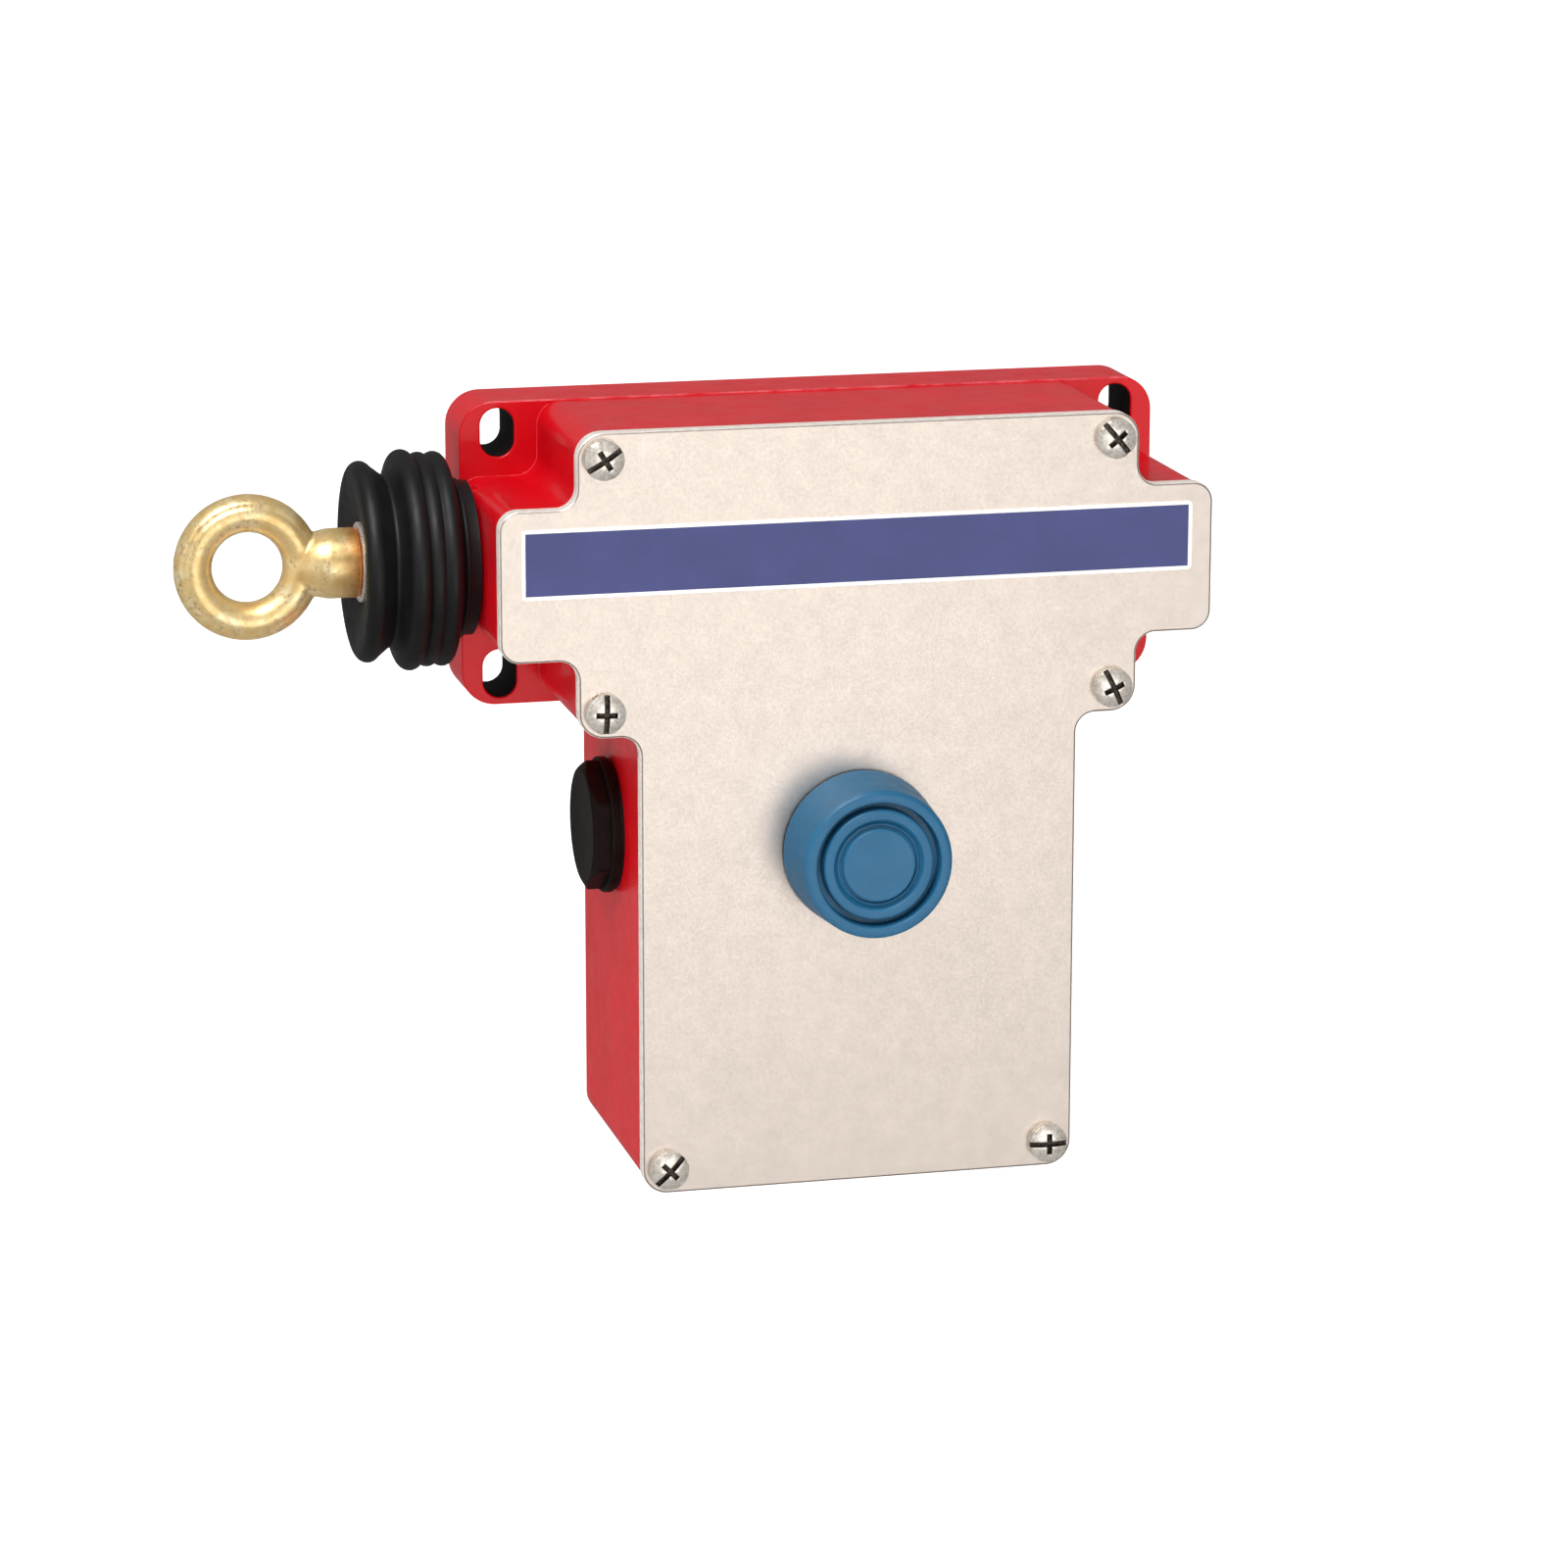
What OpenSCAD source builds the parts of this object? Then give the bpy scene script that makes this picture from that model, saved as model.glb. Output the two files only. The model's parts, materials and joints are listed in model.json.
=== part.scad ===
// Latching rope-pull emergency-stop switch: T-shaped die-cast housing with a cover plate, a pull eye with
// a bellows on the left end, a booted reset button on the front and two contact blocks inside.
// X runs right, Y into the wall and Z up. The origin lies on the wall, midway between the four slots.
// Lengths are in millimetres and angles in degrees.

/* [Housing] */
// Width of the leg
leg_w = 90.4; // [88:0.2:120]
// Length of the leg below the fixing centre
leg_l = 125.5; // [112:0.5:170]
// Step from the leg out to the shoulder blocks, on each side
shoulder_step = 12.5; // [12.5:0.5:20]
// Step from the shoulder blocks out to the ends of the cross bar, on each side
lug_step = 15.7; // [14.7:0.1:20]
// Height of the cross bar
bar_h = 30.5; // [29:0.5:40]
// Height of the shoulder block above the cross bar
upper_h = 15; // [14:0.5:24]
// Height of the shoulder block below the cross bar
lower_h = 16; // [15:0.5:18]
// Depth from the wall to the gasket
housing_d = 54; // [52:1:80]
// Thickness of the side walls
wall = 3.5; // [2.5:0.1:4.2]
// Thickness of the back wall
back_t = 4; // [3:0.5:5]
// Distance that the casting stands back behind the cover's edge, in front of the lugs
body_inset = 0.4; // [0:0.1:0.6]
// Radius of the cross bar's corners and of the inside corners
corner_r = 4; // [2:0.5:5]

/* [Wall lugs] */
// Thickness of the lugs at the wall
lug_t = 16; // [8:1:24]
// Radius of the lugs' corners
lug_r = 7; // [3:0.5:8]
// Width of a fixing slot
slot_w = 7; // [4.5:0.5:8]
// Length of a fixing slot from end to end
slot_l = 10; // [8:0.5:11]
// Distance from a slot's middle to the side edge
slot_side = 7.9; // [6:0.1:9]
// Distance from a slot's middle to the top or bottom edge
slot_end = 6.5; // [6:0.1:9]

/* [Cover] */
// Thickness of the cover plate
cover_t = 3; // [2:0.5:5]
// Thickness of the cover gasket
gasket_t = 1; // [0.5:0.1:2]
// Distance that the gasket's edge stands back from the plate's edge
gasket_inset = 0.6; // [0:0.1:1]
// Distance from a cover screw's middle to the edges beside it
screw_edge = 5.2; // [4.5:0.1:6]
// Radius of the cover screws' thread
screw_r = 2; // [1.5:0.1:2.5]
// Length of the cover screws below the head
screw_l = 16; // [10:1:25]
// Turn of each cover screw's slot: upper, middle and lower pair, left before right
screw_turns = [32, -50, 88, -65, 45, 0];
// Width of the label strip
label_w = 138; // [60:1:144]
// Height of the label strip
label_h = 14.1; // [8:0.1:20]
// Thickness of the label strip
label_t = 0.25; // [0.1:0.05:0.5]
// Height of the label's middle above the shaft
label_rise = 4.5; // [0:0.1:6]

/* [Cable entries] */
// Radius of the threaded entries, at the crests of the thread
entry_r = 9.25; // [8:0.05:9.5]
// Height of the side entries and of the reset button, below the fixing centre
reset_z = -55.3; // [-60:0.1:-55]
// Depth of the thread in an entry
entry_l = 8; // [5:0.5:9]
// Width of the blanking plugs' hexagon across its flats
plug_af = 24; // [20:0.5:24]
// Height of the blanking plugs' hexagon
plug_hex_t = 3.6; // [2:0.1:6]
// Thickness of the blanking plugs' flange
plug_flange_t = 1.8; // [1:0.1:3]
// Thickness of the plug seals
plug_seal_t = 0.8; // [0.5:0.1:1.5]

/* [Rope pull] */
// Distance of the shaft behind the housing's front edge
shaft_inset = 30; // [29:0.5:31]
// Height of the shaft and of the cross bar's middle above the fixing centre
shaft_z = 1.25; // [0:0.05:2]
// Radius of the shaft
shaft_r = 5; // [4:0.1:6]
// Distance that the eye travels when the rope is pulled
pull_travel = 10; // [6:0.5:11]
// Radius of the eye, at the middle of its ring
eye_r = 11; // [9:0.5:14]
// Radius of the eye's ring in section
eye_wire_r = 3.9; // [3:0.1:4.5]
// Distance from the eye's middle to the end of its neck
neck_l = 22.4; // [20:0.1:30]
// Radius of the eye's neck
neck_r = 7.1; // [6.5:0.1:8]
// Length of the bellows
bellows_l = 23.6; // [22:0.2:30]
// Thickness of the bellows
bellows_t = 1.6; // [1:0.1:2]
// Radius of the main spring, at the middle of its wire
spring_r = 8; // [7:0.1:8.5]
// Thickness of the main spring's wire
spring_wire = 2; // [1:0.1:2.2]

/* [Contact blocks] */
// Distance of each contact block from the middle
contact_x = 22; // [21:0.5:23]
// Width of a contact block
case_w = 20; // [19:0.5:22]
// Depth of a contact block
case_d = 28; // [24:1:28]
// Height of a contact block
case_h = 31; // [31:0.5:31.5]
// Fall of the slider's ramp for each millimetre of rope pull
ramp_slope = 0.25; // [0.1:0.05:0.3]

/* [Reset button] */
// Radius of the boot at the cover
boot_r = 16.2; // [16:0.1:18]
// Height of the boot above the cover
boot_h = 15.5; // [15:0.1:20]
// Radius of the reset button's stem
stem_r = 4; // [3:0.1:4.5]
// Travel of the reset button
reset_travel = 5; // [3:0.5:5]
// Height of the latch lever's pivot, below the fixing centre
pivot_z = -28; // [-30:0.5:-26]

/* [Hidden] */
$fn = 64;

// Clearances: parts that slide or turn in a hole, parts that lie beside each other, and a cutter's overrun
fit = 0.05;
gap = 0.3;
over = 1;

// Outline of the housing
shoulder_w = leg_w + 2 * shoulder_step;
bar_w = shoulder_w + 2 * lug_step;
bar_top = shaft_z + bar_h / 2;
bar_bottom = shaft_z - bar_h / 2;
top_z = bar_top + upper_h;
low_z = bar_bottom - lower_h;
foot_z = -leg_l;
least_r = 0.8;
side_x = leg_w / 2 - body_inset;
under_z = foot_z + body_inset;
seat_edge = 0.8;
seat_r = bar_h / 2 - seat_edge;
sides = [-1, 1];
slot_x = bar_w / 2 - slot_side;
slot_z = top_z - slot_end;
screw_places = [
    [-shoulder_w / 2 + screw_edge, top_z - screw_edge],
    [shoulder_w / 2 - screw_edge, top_z - screw_edge],
    [-shoulder_w / 2 + screw_edge, low_z + screw_edge],
    [shoulder_w / 2 - screw_edge, low_z + screw_edge],
    [-leg_w / 2 + screw_edge, foot_z + screw_edge],
    [leg_w / 2 - screw_edge, foot_z + screw_edge]
];

// Depths, from the wall towards the front
cover_back_y = -housing_d - gasket_t;
cover_y = cover_back_y - cover_t;
shaft_y = -housing_d + shaft_inset;
entry_y = -housing_d / 2;
head_h = 2.6;
screw_clear = 0.25;

// Cable entries and their plugs
entry_boss_r = entry_r + 4.75;
thread_r = entry_r - fit;
plug_flange_r = plug_af / sqrt(3) + 0.15;
plug_seal_r = plug_flange_r - 0.5;

// The shaft from left to right
wall_x = -bar_w / 2;
bellows_x = wall_x - bellows_l;
washer_inset = 1.1;
washer_t = 1;
neck_x = bellows_x + washer_inset;
shoulder_x = neck_x + washer_t;
eye_x = neck_x - neck_l;
rod_thread_r = shaft_r - 1;
neck_washer_r = neck_r + 1.9;
neck_bore_l = 9;
bellows_lip_t = 2;
bellows_collar_r = 15.7;
bellows_collar_l = 3.4;
fold_r = 21;
fold_sag = 0.4;
front_r = 18.6;
// Folds of the bellows: distance from the wall, radius of the crest and radius of its round
folds = [[6.4, 21.75, 1.9], [9.5, 21.7, 1.9], [13, 22.35, 2.2], [bellows_l - 2.1, 20.35, 2.1]];
shaft_collar_r = shaft_r + 3;
shaft_collar_t = 2;
collar_x = shoulder_x + bellows_lip_t + gap;
bush_r = shaft_r + 2;
bush_end_x = wall_x + wall + 10;
spigot_r = 13;
spigot_l = 5.1;
bush_boss_r = bush_r + 3;
spring_washer_x = bar_w / 2 - wall - 7.4;
spring_washer_t = 1.5;
nut_t = 4;
nut_af = 2 * rod_thread_r + 5;
rod_end_x = spring_washer_x + spring_washer_t + nut_t + 0.8;

// The slider, with a ramp over each plunger
slider_half_d = 10;
slider_top = shaft_z + 9.5;
slider_floor = shaft_z - 10.25;
ramp_margin = 1.5;
ramp_l = pull_travel + ramp_margin;
ramp_drop = ramp_slope * ramp_l;
ramp_land = 2;
slider_left = -contact_x - 4;
slider_right = contact_x + ramp_l + ramp_land;
pin_x = contact_x - 5;
pin_r = 1.5;
pin_half_l = 8.5;
hook_half_h = 3;
hook_depth = 3.6;
notch_depth = hook_depth + 0.4;
notch_clear = 0.5;

// The latch lever, which hooks into the slider's front face
lever_t = 3;
lever_w = 4;
lever_back_y = shaft_y - slider_half_d - 1;
lever_front_y = lever_back_y - lever_t;
lever_foot_z = reset_z - 4.7;
pivot_y = lever_back_y - 1;
pivot_r = 2;
hub_r = 4.5;
hub_half_w = 3.7;
ear_gap = 4;
ear_t = 2;
clip_t = 0.8;
clip_r = pivot_r + 2;
clip_groove = 0.4;
latch_spring_z = pivot_z - 18;
latch_boss_r = 4;
latch_boss_y = shaft_y + 6;
latch_coil_r = 2.5;
latch_wire = 0.8;

// The bracket, which stands on posts from the back wall
plate_t = 2;
plate_y = shaft_y + case_d / 2;
plate_back_y = plate_y + plate_t;
bracket_screw_x = contact_x + case_w / 2 + 9;
bracket_screw_edge = 5;
bracket_half_w = bracket_screw_x + bracket_screw_edge;
bracket_top = top_z - 9.5;
bracket_low = low_z + 6;
bracket_foot = slider_floor - 5 - case_h - 4;
spring_wall_x = slider_right + gap;
spring_wall_half_h = 9.5;
post_r = 4.5;
small_head_h = 2.2;
m4_r = 2;
m3_r = 1.5;

// Contact blocks, measured from the slider's underside
case_top = slider_floor - 5;
case_foot = case_top - case_h;
case_front_y = shaft_y - case_d / 2;
case_wall = 1.8;
case_floor = case_foot + 9;
lid_t = 2;
plunger_r = 2.5;
strip_t = 0.8;
strip_w = 5;
bridge_z = case_top - 12.2;
bridge_half_l = case_w / 2 - 3.5;
spigot_pin_r = 1.5;
strip_x = case_w / 2 - case_wall - 0.4;
terminal_x = 5.3;
terminal_z = case_foot + 4;
pocket_half_h = 3.2;
pocket_half_w = 2.75;
strip_foot_half_h = 2.7;
slot_over = 2 * strip_foot_half_h + 0.4;
strip_front_y = shaft_y - strip_w / 2;
plunger_wire = 0.7;
plunger_coil_r = 2.6;

// Reset button, measured outwards from the cover's front
seal_t = 0.5;
boot_t = 1.2;
bezel_flange_t = 2;
bezel_flange_r = boot_r - boot_t - 0.8;
bezel_r = 11;
bezel_nut_t = 5;
bezel_nut_af = 27;
bezel_foot = cover_t + bezel_nut_t + 4;
bezel_well = 4;
bezel_well_r = 7.5;
cap_r = 9;
cap_top = boot_h - 2;
cap_spare = 2;
cap_t = cap_top - seal_t - bezel_flange_t - reset_travel - cap_spare;
nose_r = 1.5;
stem_clip_t = 1;
reset_wire = 1.1;

// Earth terminal on the back wall
earth_x = -28;
earth_z = foot_z + 25.5;
earth_post_y = -back_t - 8;

// Steps around a spring's turn, and sides of its wire
coil_steps = 12;
wire_sides = 8;

// ---- Helpers ----

// A plate in the XZ plane from depth y0 to y1
module slab(y0, y1) {
    translate([0, y1, 0])
        rotate([90, 0, 0])
            linear_extrude(y1 - y0)
                children();
}

// A plate in the YZ plane from x0 to x1
module cross_slab(x0, x1) {
    translate([x0, 0, 0])
        rotate([90, 0, 90])
            linear_extrude(x1 - x0)
                children();
}

// A round bar along X on the shaft's axis, or on another
module rod_x(x0, x1, r, y = shaft_y, z = shaft_z) {
    translate([x0, y, z])
        rotate([0, 90, 0])
            cylinder(h = x1 - x0, r = r);
}

// A round bar along Y from depth y0 to y1
module rod_y(y0, y1, r, x = 0, z = 0) {
    translate([x, y1, z])
        rotate([90, 0, 0])
            cylinder(h = y1 - y0, r = r);
}

// A block between two corners
module block(x, y, z) {
    translate([x[0], y[0], z[0]])
        cube([x[1] - x[0], y[1] - y[0], z[1] - z[0]]);
}

// A rectangle with round corners, centred
module rounded(w, h, r) {
    square([w - 2 * r, h], center = true);
    square([w, h - 2 * r], center = true);
    for (sx = sides, sz = sides)
        translate([sx * (w / 2 - r), sz * (h / 2 - r)])
            circle(r);
}

// The web that rounds an inside corner at x, z on the side towards sx, sz
module corner_web(x, z, sx, sz, r) {
    difference() {
        translate([min(x - sx * over, x + sx * r), min(z - sz * over, z + sz * r)])
            square(r + over);
        translate([x + sx * r, z + sz * r])
            circle(r);
    }
}

// The housing's T-shaped outline, drawn in by d
module tee_outline(d = 0) {
    block_r = max(screw_edge - d, least_r);
    bar_r = max(corner_r - d, least_r);
    web_r = corner_r + d;
    translate([0, (top_z + low_z) / 2])
        rounded(shoulder_w - 2 * d, top_z - low_z - 2 * d, block_r);
    translate([0, shaft_z])
        rounded(bar_w - 2 * d, bar_h - 2 * d, bar_r);
    translate([0, (shaft_z + foot_z) / 2])
        rounded(leg_w - 2 * d, shaft_z - foot_z - 2 * d, block_r);
    for (s = sides) {
        corner_web(s * (shoulder_w / 2 - d), bar_top - d, s, 1, web_r);
        corner_web(s * (shoulder_w / 2 - d), bar_bottom + d, s, -1, web_r);
        corner_web(s * (leg_w / 2 - d), low_z + d, s, -1, web_r);
    }
}

// A slot with round ends, standing upright
module slot_outline(w, l) {
    square([w, l - w], center = true);
    for (s = sides)
        translate([0, s * (l - w) / 2])
            circle(w / 2);
}

// A hexagon with two flats across af
module hexagon(af) {
    circle(r = af / sqrt(3), $fn = 6);
}

// Height of a spring's wire after t turns: the first and the last turn lie closed
function coil_rise(t, turns, wire, length) =
    let (closed = 1.15 * wire, open = (length - wire - 2 * closed) / (turns - 2))
    wire / 2 + (t < 1 ? closed * t
        : t > turns - 1 ? length - wire - closed * (turns - t)
        : closed + open * (t - 1));

// A compression spring standing on z = 0
module coil(r, wire, length, turns) {
    steps = ceil(turns * coil_steps);
    points = [
        for (i = [0:steps], j = [0:wire_sides - 1])
            let (t = turns * i / steps, b = 360 * j / wire_sides, q = r + wire / 2 * cos(b))
            [q * cos(360 * t), q * sin(360 * t), coil_rise(t, turns, wire, length) + wire / 2 * sin(b)]
    ];
    first = [for (j = [wire_sides - 1:-1:0]) j];
    last = [for (j = [0:wire_sides - 1]) steps * wire_sides + j];
    skin = [
        for (i = [0:steps - 1], j = [0:wire_sides - 1])
            let (a = i * wire_sides + j, b = i * wire_sides + (j + 1) % wire_sides)
            each [[a, b, b + wire_sides], [a, b + wire_sides, a + wire_sides]]
    ];
    polyhedron(points, concat([first], [last], skin), convexity = 6);
}

// A pan-head screw along Y with its head's underside at depth y
module pan_screw(x, y, z, r, length, head_h, turn = 0, recess = true) {
    head = 2 * r;
    difference() {
        union() {
            rod_y(y, y + length, r - fit, x, z);
            translate([x, y, z])
                rotate([90, 0, 0])
                    rotate_extrude()
                        intersection() {
                            square([head, head_h]);
                            translate([0, head_h - 2.6 * head])
                                circle(2.6 * head);
                        }
        }
        if (recess)
            translate([x, y - head_h, z])
                rotate([0, -turn, 0]) {
                    cube([3 * head, 0.55 * head_h * 2, 0.28 * head], center = true);
                    cube([0.28 * head, 0.55 * head_h * 2, 1.1 * head], center = true);
                }
    }
}

// ---- Housing and cover ----

module housing() {
    color("#B3212C")
        difference() {
            union() {
                difference() {
                    union() {
                        slab(-housing_d, 0)
                            tee_outline(body_inset);
                        slab(-lug_t, 0)
                            rounded(bar_w, 2 * top_z, lug_r);
                    }
                    slab(-housing_d - over, -back_t)
                        tee_outline(body_inset + wall);
                }
                // Pillars for the cover screws
                for (p = screw_places)
                    rod_y(-housing_d, -back_t / 2, screw_edge - body_inset, p[0], p[1]);
                // Bosses of the cable entries
                rod_x(-side_x + wall / 2, -side_x + entry_l, entry_boss_r, entry_y, reset_z);
                rod_x(side_x - entry_l, side_x - wall / 2, entry_boss_r, entry_y, reset_z);
                translate([0, entry_y, under_z + wall / 2])
                    cylinder(h = entry_l - wall / 2, r = entry_boss_r);
                // Seat and spigot for the bellows, and the bush's boss
                rod_x(wall_x, wall_x + wall / 2, seat_r);
                rod_x(wall_x - spigot_l, wall_x + wall / 2, spigot_r);
                rod_x(wall_x + wall / 2, bush_end_x, bush_boss_r);
                // Posts for the bracket, the latch spring and the earth screw
                for (sx = sides, z = [bracket_low + bracket_screw_edge, bracket_top - bracket_screw_edge])
                    rod_y(plate_back_y, -back_t / 2, post_r, sx * bracket_screw_x, z);
                rod_y(latch_boss_y, -back_t / 2, latch_boss_r, 0, latch_spring_z);
                rod_y(earth_post_y, -back_t / 2, post_r, earth_x, earth_z);
            }
            // Fixing slots
            for (sx = sides, sz = sides)
                translate([sx * slot_x, 0, sz * slot_z])
                    slab(-lug_t - over, over)
                        slot_outline(slot_w, slot_l);
            // Threaded holes for the cover screws
            for (p = screw_places)
                rod_y(-housing_d - over, cover_back_y + cover_t + screw_l, screw_r, p[0], p[1]);
            // Cable entries
            rod_x(-side_x - over, -side_x + entry_l + over, entry_r, entry_y, reset_z);
            rod_x(side_x - entry_l - over, side_x + over, entry_r, entry_y, reset_z);
            translate([0, entry_y, under_z - over])
                cylinder(h = entry_l + 2 * over, r = entry_r);
            // Bore for the guide bush
            rod_x(wall_x - spigot_l - over, bush_end_x + over, bush_r + fit);
            // Threaded holes in the posts
            for (sx = sides, z = [bracket_low + bracket_screw_edge, bracket_top - bracket_screw_edge])
                rod_y(plate_back_y - over, -back_t / 2, m4_r, sx * bracket_screw_x, z);
            rod_y(earth_post_y - over, -back_t / 2, m4_r, earth_x, earth_z);
        }
}

module cover_gasket() {
    color("#1B1B1B")
        slab(cover_back_y, -housing_d)
            difference() {
                union() {
                    difference() {
                        tee_outline(gasket_inset);
                        tee_outline(body_inset + wall);
                    }
                    for (p = screw_places)
                        translate(p)
                            circle(screw_edge - gasket_inset);
                }
                for (p = screw_places)
                    translate(p)
                        circle(screw_r + screw_clear);
            }
}

module cover_plate() {
    color("#DCD5CB")
        difference() {
            slab(cover_y, cover_back_y)
                tee_outline();
            for (p = screw_places)
                rod_y(cover_y - over, cover_back_y + over, screw_r + screw_clear, p[0], p[1]);
            rod_y(cover_y - over, cover_back_y + over, bezel_r + screw_clear, 0, reset_z);
        }
}

module cover_screws() {
    color("#C9C5BD")
        for (i = [0:len(screw_places) - 1])
            pan_screw(screw_places[i][0], cover_y, screw_places[i][1], screw_r, screw_l, head_h,
                screw_turns[i]);
}

module label_strip() {
    color("#565A8E")
        translate([0, 0, shaft_z + label_rise])
            slab(cover_y - label_t, cover_y)
                rounded(label_w, label_h, least_r);
}

module plug_seal() {
    difference() {
        rod_x(side_x, side_x + plug_seal_t, plug_seal_r, entry_y, reset_z);
        rod_x(side_x - over, side_x + plug_seal_t + over, thread_r + fit, entry_y, reset_z);
    }
}

module blanking_plug() {
    flange_x = side_x + plug_seal_t;
    hex_x = flange_x + plug_flange_t;
    rod_x(side_x - entry_l, flange_x, thread_r, entry_y, reset_z);
    rod_x(flange_x, hex_x, plug_flange_r, entry_y, reset_z);
    translate([0, entry_y, reset_z])
        cross_slab(hex_x, hex_x + plug_hex_t)
            rotate(30)
                hexagon(plug_af);
}

module plug_seal_left() {
    color("#141414")
        mirror([1, 0, 0])
            plug_seal();
}

module plug_seal_right() {
    color("#141414")
        plug_seal();
}

module blanking_plug_left() {
    color("#232323")
        mirror([1, 0, 0])
            blanking_plug();
}

module blanking_plug_right() {
    color("#232323")
        blanking_plug();
}

// ---- Rope pull ----

module guide_bush() {
    color("#B98B4A")
        difference() {
            rod_x(wall_x - spigot_l, bush_end_x, bush_r);
            rod_x(wall_x - spigot_l - over, bush_end_x + over, shaft_r + fit);
        }
}

// Outline of the bellows in radius and distance from the wall, drawn in by t
module bellows_outline(t) {
    polygon([
        [0, 0], [bellows_collar_r - t, 0], [bellows_collar_r - t, bellows_collar_l],
        [fold_r - 1 - t, folds[0][0] - 0.8], [fold_r - t, folds[0][0]],
        [fold_r - fold_sag - t, (folds[0][0] + folds[1][0]) / 2], [fold_r - t, folds[1][0]],
        [fold_r - fold_sag - t, (folds[1][0] + folds[2][0]) / 2], [fold_r - t, folds[2][0]],
        [front_r + 1 - t, bellows_l - 9], [front_r - 1.3 - t, bellows_l - 6.7],
        [front_r - t, bellows_l - 4.2], [front_r - t, bellows_l - t], [0, bellows_l - t]
    ]);
    for (f = folds)
        translate([f[1] - t - (f[2] - 0.7 * t), f[0]])
            circle(f[2] - 0.7 * t);
}

module bellows() {
    front = bellows_l - washer_inset - washer_t;
    hollow_end = front - bellows_lip_t - 1;
    color("#1E1E1E")
        translate([wall_x, shaft_y, shaft_z])
            rotate([0, -90, 0])
                rotate_extrude()
                    difference() {
                        bellows_outline(0);
                        // Hollow over the spigot and behind the front wall
                        intersection() {
                            bellows_outline(bellows_t);
                            translate([0, spigot_l + gap])
                                square([2 * spigot_r, hollow_end - spigot_l - gap]);
                        }
                        square([shaft_collar_r + gap, front - bellows_lip_t]);
                        square([spigot_r + fit, spigot_l + gap + over / 2]);
                        square([shaft_r + gap, bellows_l + over]);
                        translate([0, front])
                            square([neck_washer_r + gap, bellows_l]);
                    }
}

module rope_eye() {
    color("#D9B163")
        translate([eye_x, shaft_y, shaft_z])
            difference() {
                union() {
                    rotate([90, 0, 0])
                        rotate_extrude()
                            translate([eye_r, 0])
                                circle(eye_wire_r);
                    translate([neck_l, 0, 0])
                        rotate([0, -90, 0])
                            rotate_extrude()
                                polygon([
                                    [0, 0], [neck_r - 0.7, 0], [neck_r, 0.7], [neck_r, 5.5], [neck_r - 0.3, 7],
                                    [neck_r - 1.1, 9], [eye_wire_r, neck_l - eye_r + 0.8],
                                    [0, neck_l - eye_r + 0.8]
                                ]);
                }
                translate([neck_l - neck_bore_l, 0, 0])
                    rotate([0, 90, 0])
                        cylinder(h = neck_bore_l + over, r = rod_thread_r + fit);
            }
}

module neck_washer() {
    color("#E4E4E2")
        difference() {
            rod_x(neck_x, shoulder_x, neck_washer_r);
            rod_x(neck_x - over, shoulder_x + over, rod_thread_r + fit);
        }
}

module pull_shaft() {
    color("#A9ABAD")
        difference() {
            union() {
                rod_x(neck_x - neck_bore_l + 1, shoulder_x, rod_thread_r);
                rod_x(shoulder_x, spring_washer_x, shaft_r);
                rod_x(collar_x, collar_x + shaft_collar_t, shaft_collar_r);
                rod_x(spring_washer_x, rod_end_x, rod_thread_r);
            }
            translate([pin_x, shaft_y, shaft_z - shaft_r - over])
                cylinder(h = 2 * (shaft_r + over), r = pin_r + fit);
        }
}

module cam_slider() {
    left_end = -contact_x + ramp_l;
    color("#E8E4DA")
        difference() {
            slab(shaft_y - slider_half_d, shaft_y + slider_half_d)
                polygon([
                    [slider_left, slider_top], [slider_right, slider_top],
                    [slider_right, slider_floor - ramp_drop], [contact_x + ramp_l, slider_floor - ramp_drop],
                    [contact_x, slider_floor], [left_end, slider_floor],
                    [left_end, slider_floor - ramp_drop], [-contact_x, slider_floor], [slider_left, slider_floor]
                ]);
            rod_x(slider_left - over, slider_right + over, shaft_r + fit);
            // Notch for the latch lever's hook, long enough for the whole pull
            block([-lever_w / 2 - notch_clear, lever_w / 2 + pull_travel + notch_clear],
                [shaft_y - slider_half_d - over, shaft_y - slider_half_d + notch_depth],
                [shaft_z - hook_half_h - notch_clear, shaft_z + hook_half_h + notch_clear]);
            translate([pin_x, shaft_y, slider_floor - over])
                cylinder(h = slider_top - slider_floor + 2 * over, r = pin_r + fit);
        }
}

module slider_pin() {
    color("#8E9194")
        translate([pin_x, shaft_y, shaft_z - pin_half_l])
            cylinder(h = 2 * pin_half_l, r = pin_r);
}

module main_spring() {
    seat = spring_wall_x + plate_t + gap;
    length = spring_washer_x - gap - seat;
    color("#9DA0A3")
        translate([seat, shaft_y, shaft_z])
            rotate([0, 90, 0])
                coil(spring_r, spring_wire, length, max(3, length / (2 * spring_wire)));
}

module spring_washer() {
    color("#C4C6C8")
        difference() {
            rod_x(spring_washer_x, spring_washer_x + spring_washer_t, spring_r + spring_wire / 2 + 0.5);
            rod_x(spring_washer_x - over, spring_washer_x + spring_washer_t + over, rod_thread_r + fit);
        }
}

module shaft_nut() {
    nut_x = spring_washer_x + spring_washer_t;
    color("#C4C6C8")
        translate([0, shaft_y, shaft_z])
            cross_slab(nut_x, nut_x + nut_t)
                difference() {
                    hexagon(nut_af);
                    circle(rod_thread_r + fit);
                }
}

// ---- Bracket and latch ----

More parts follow.
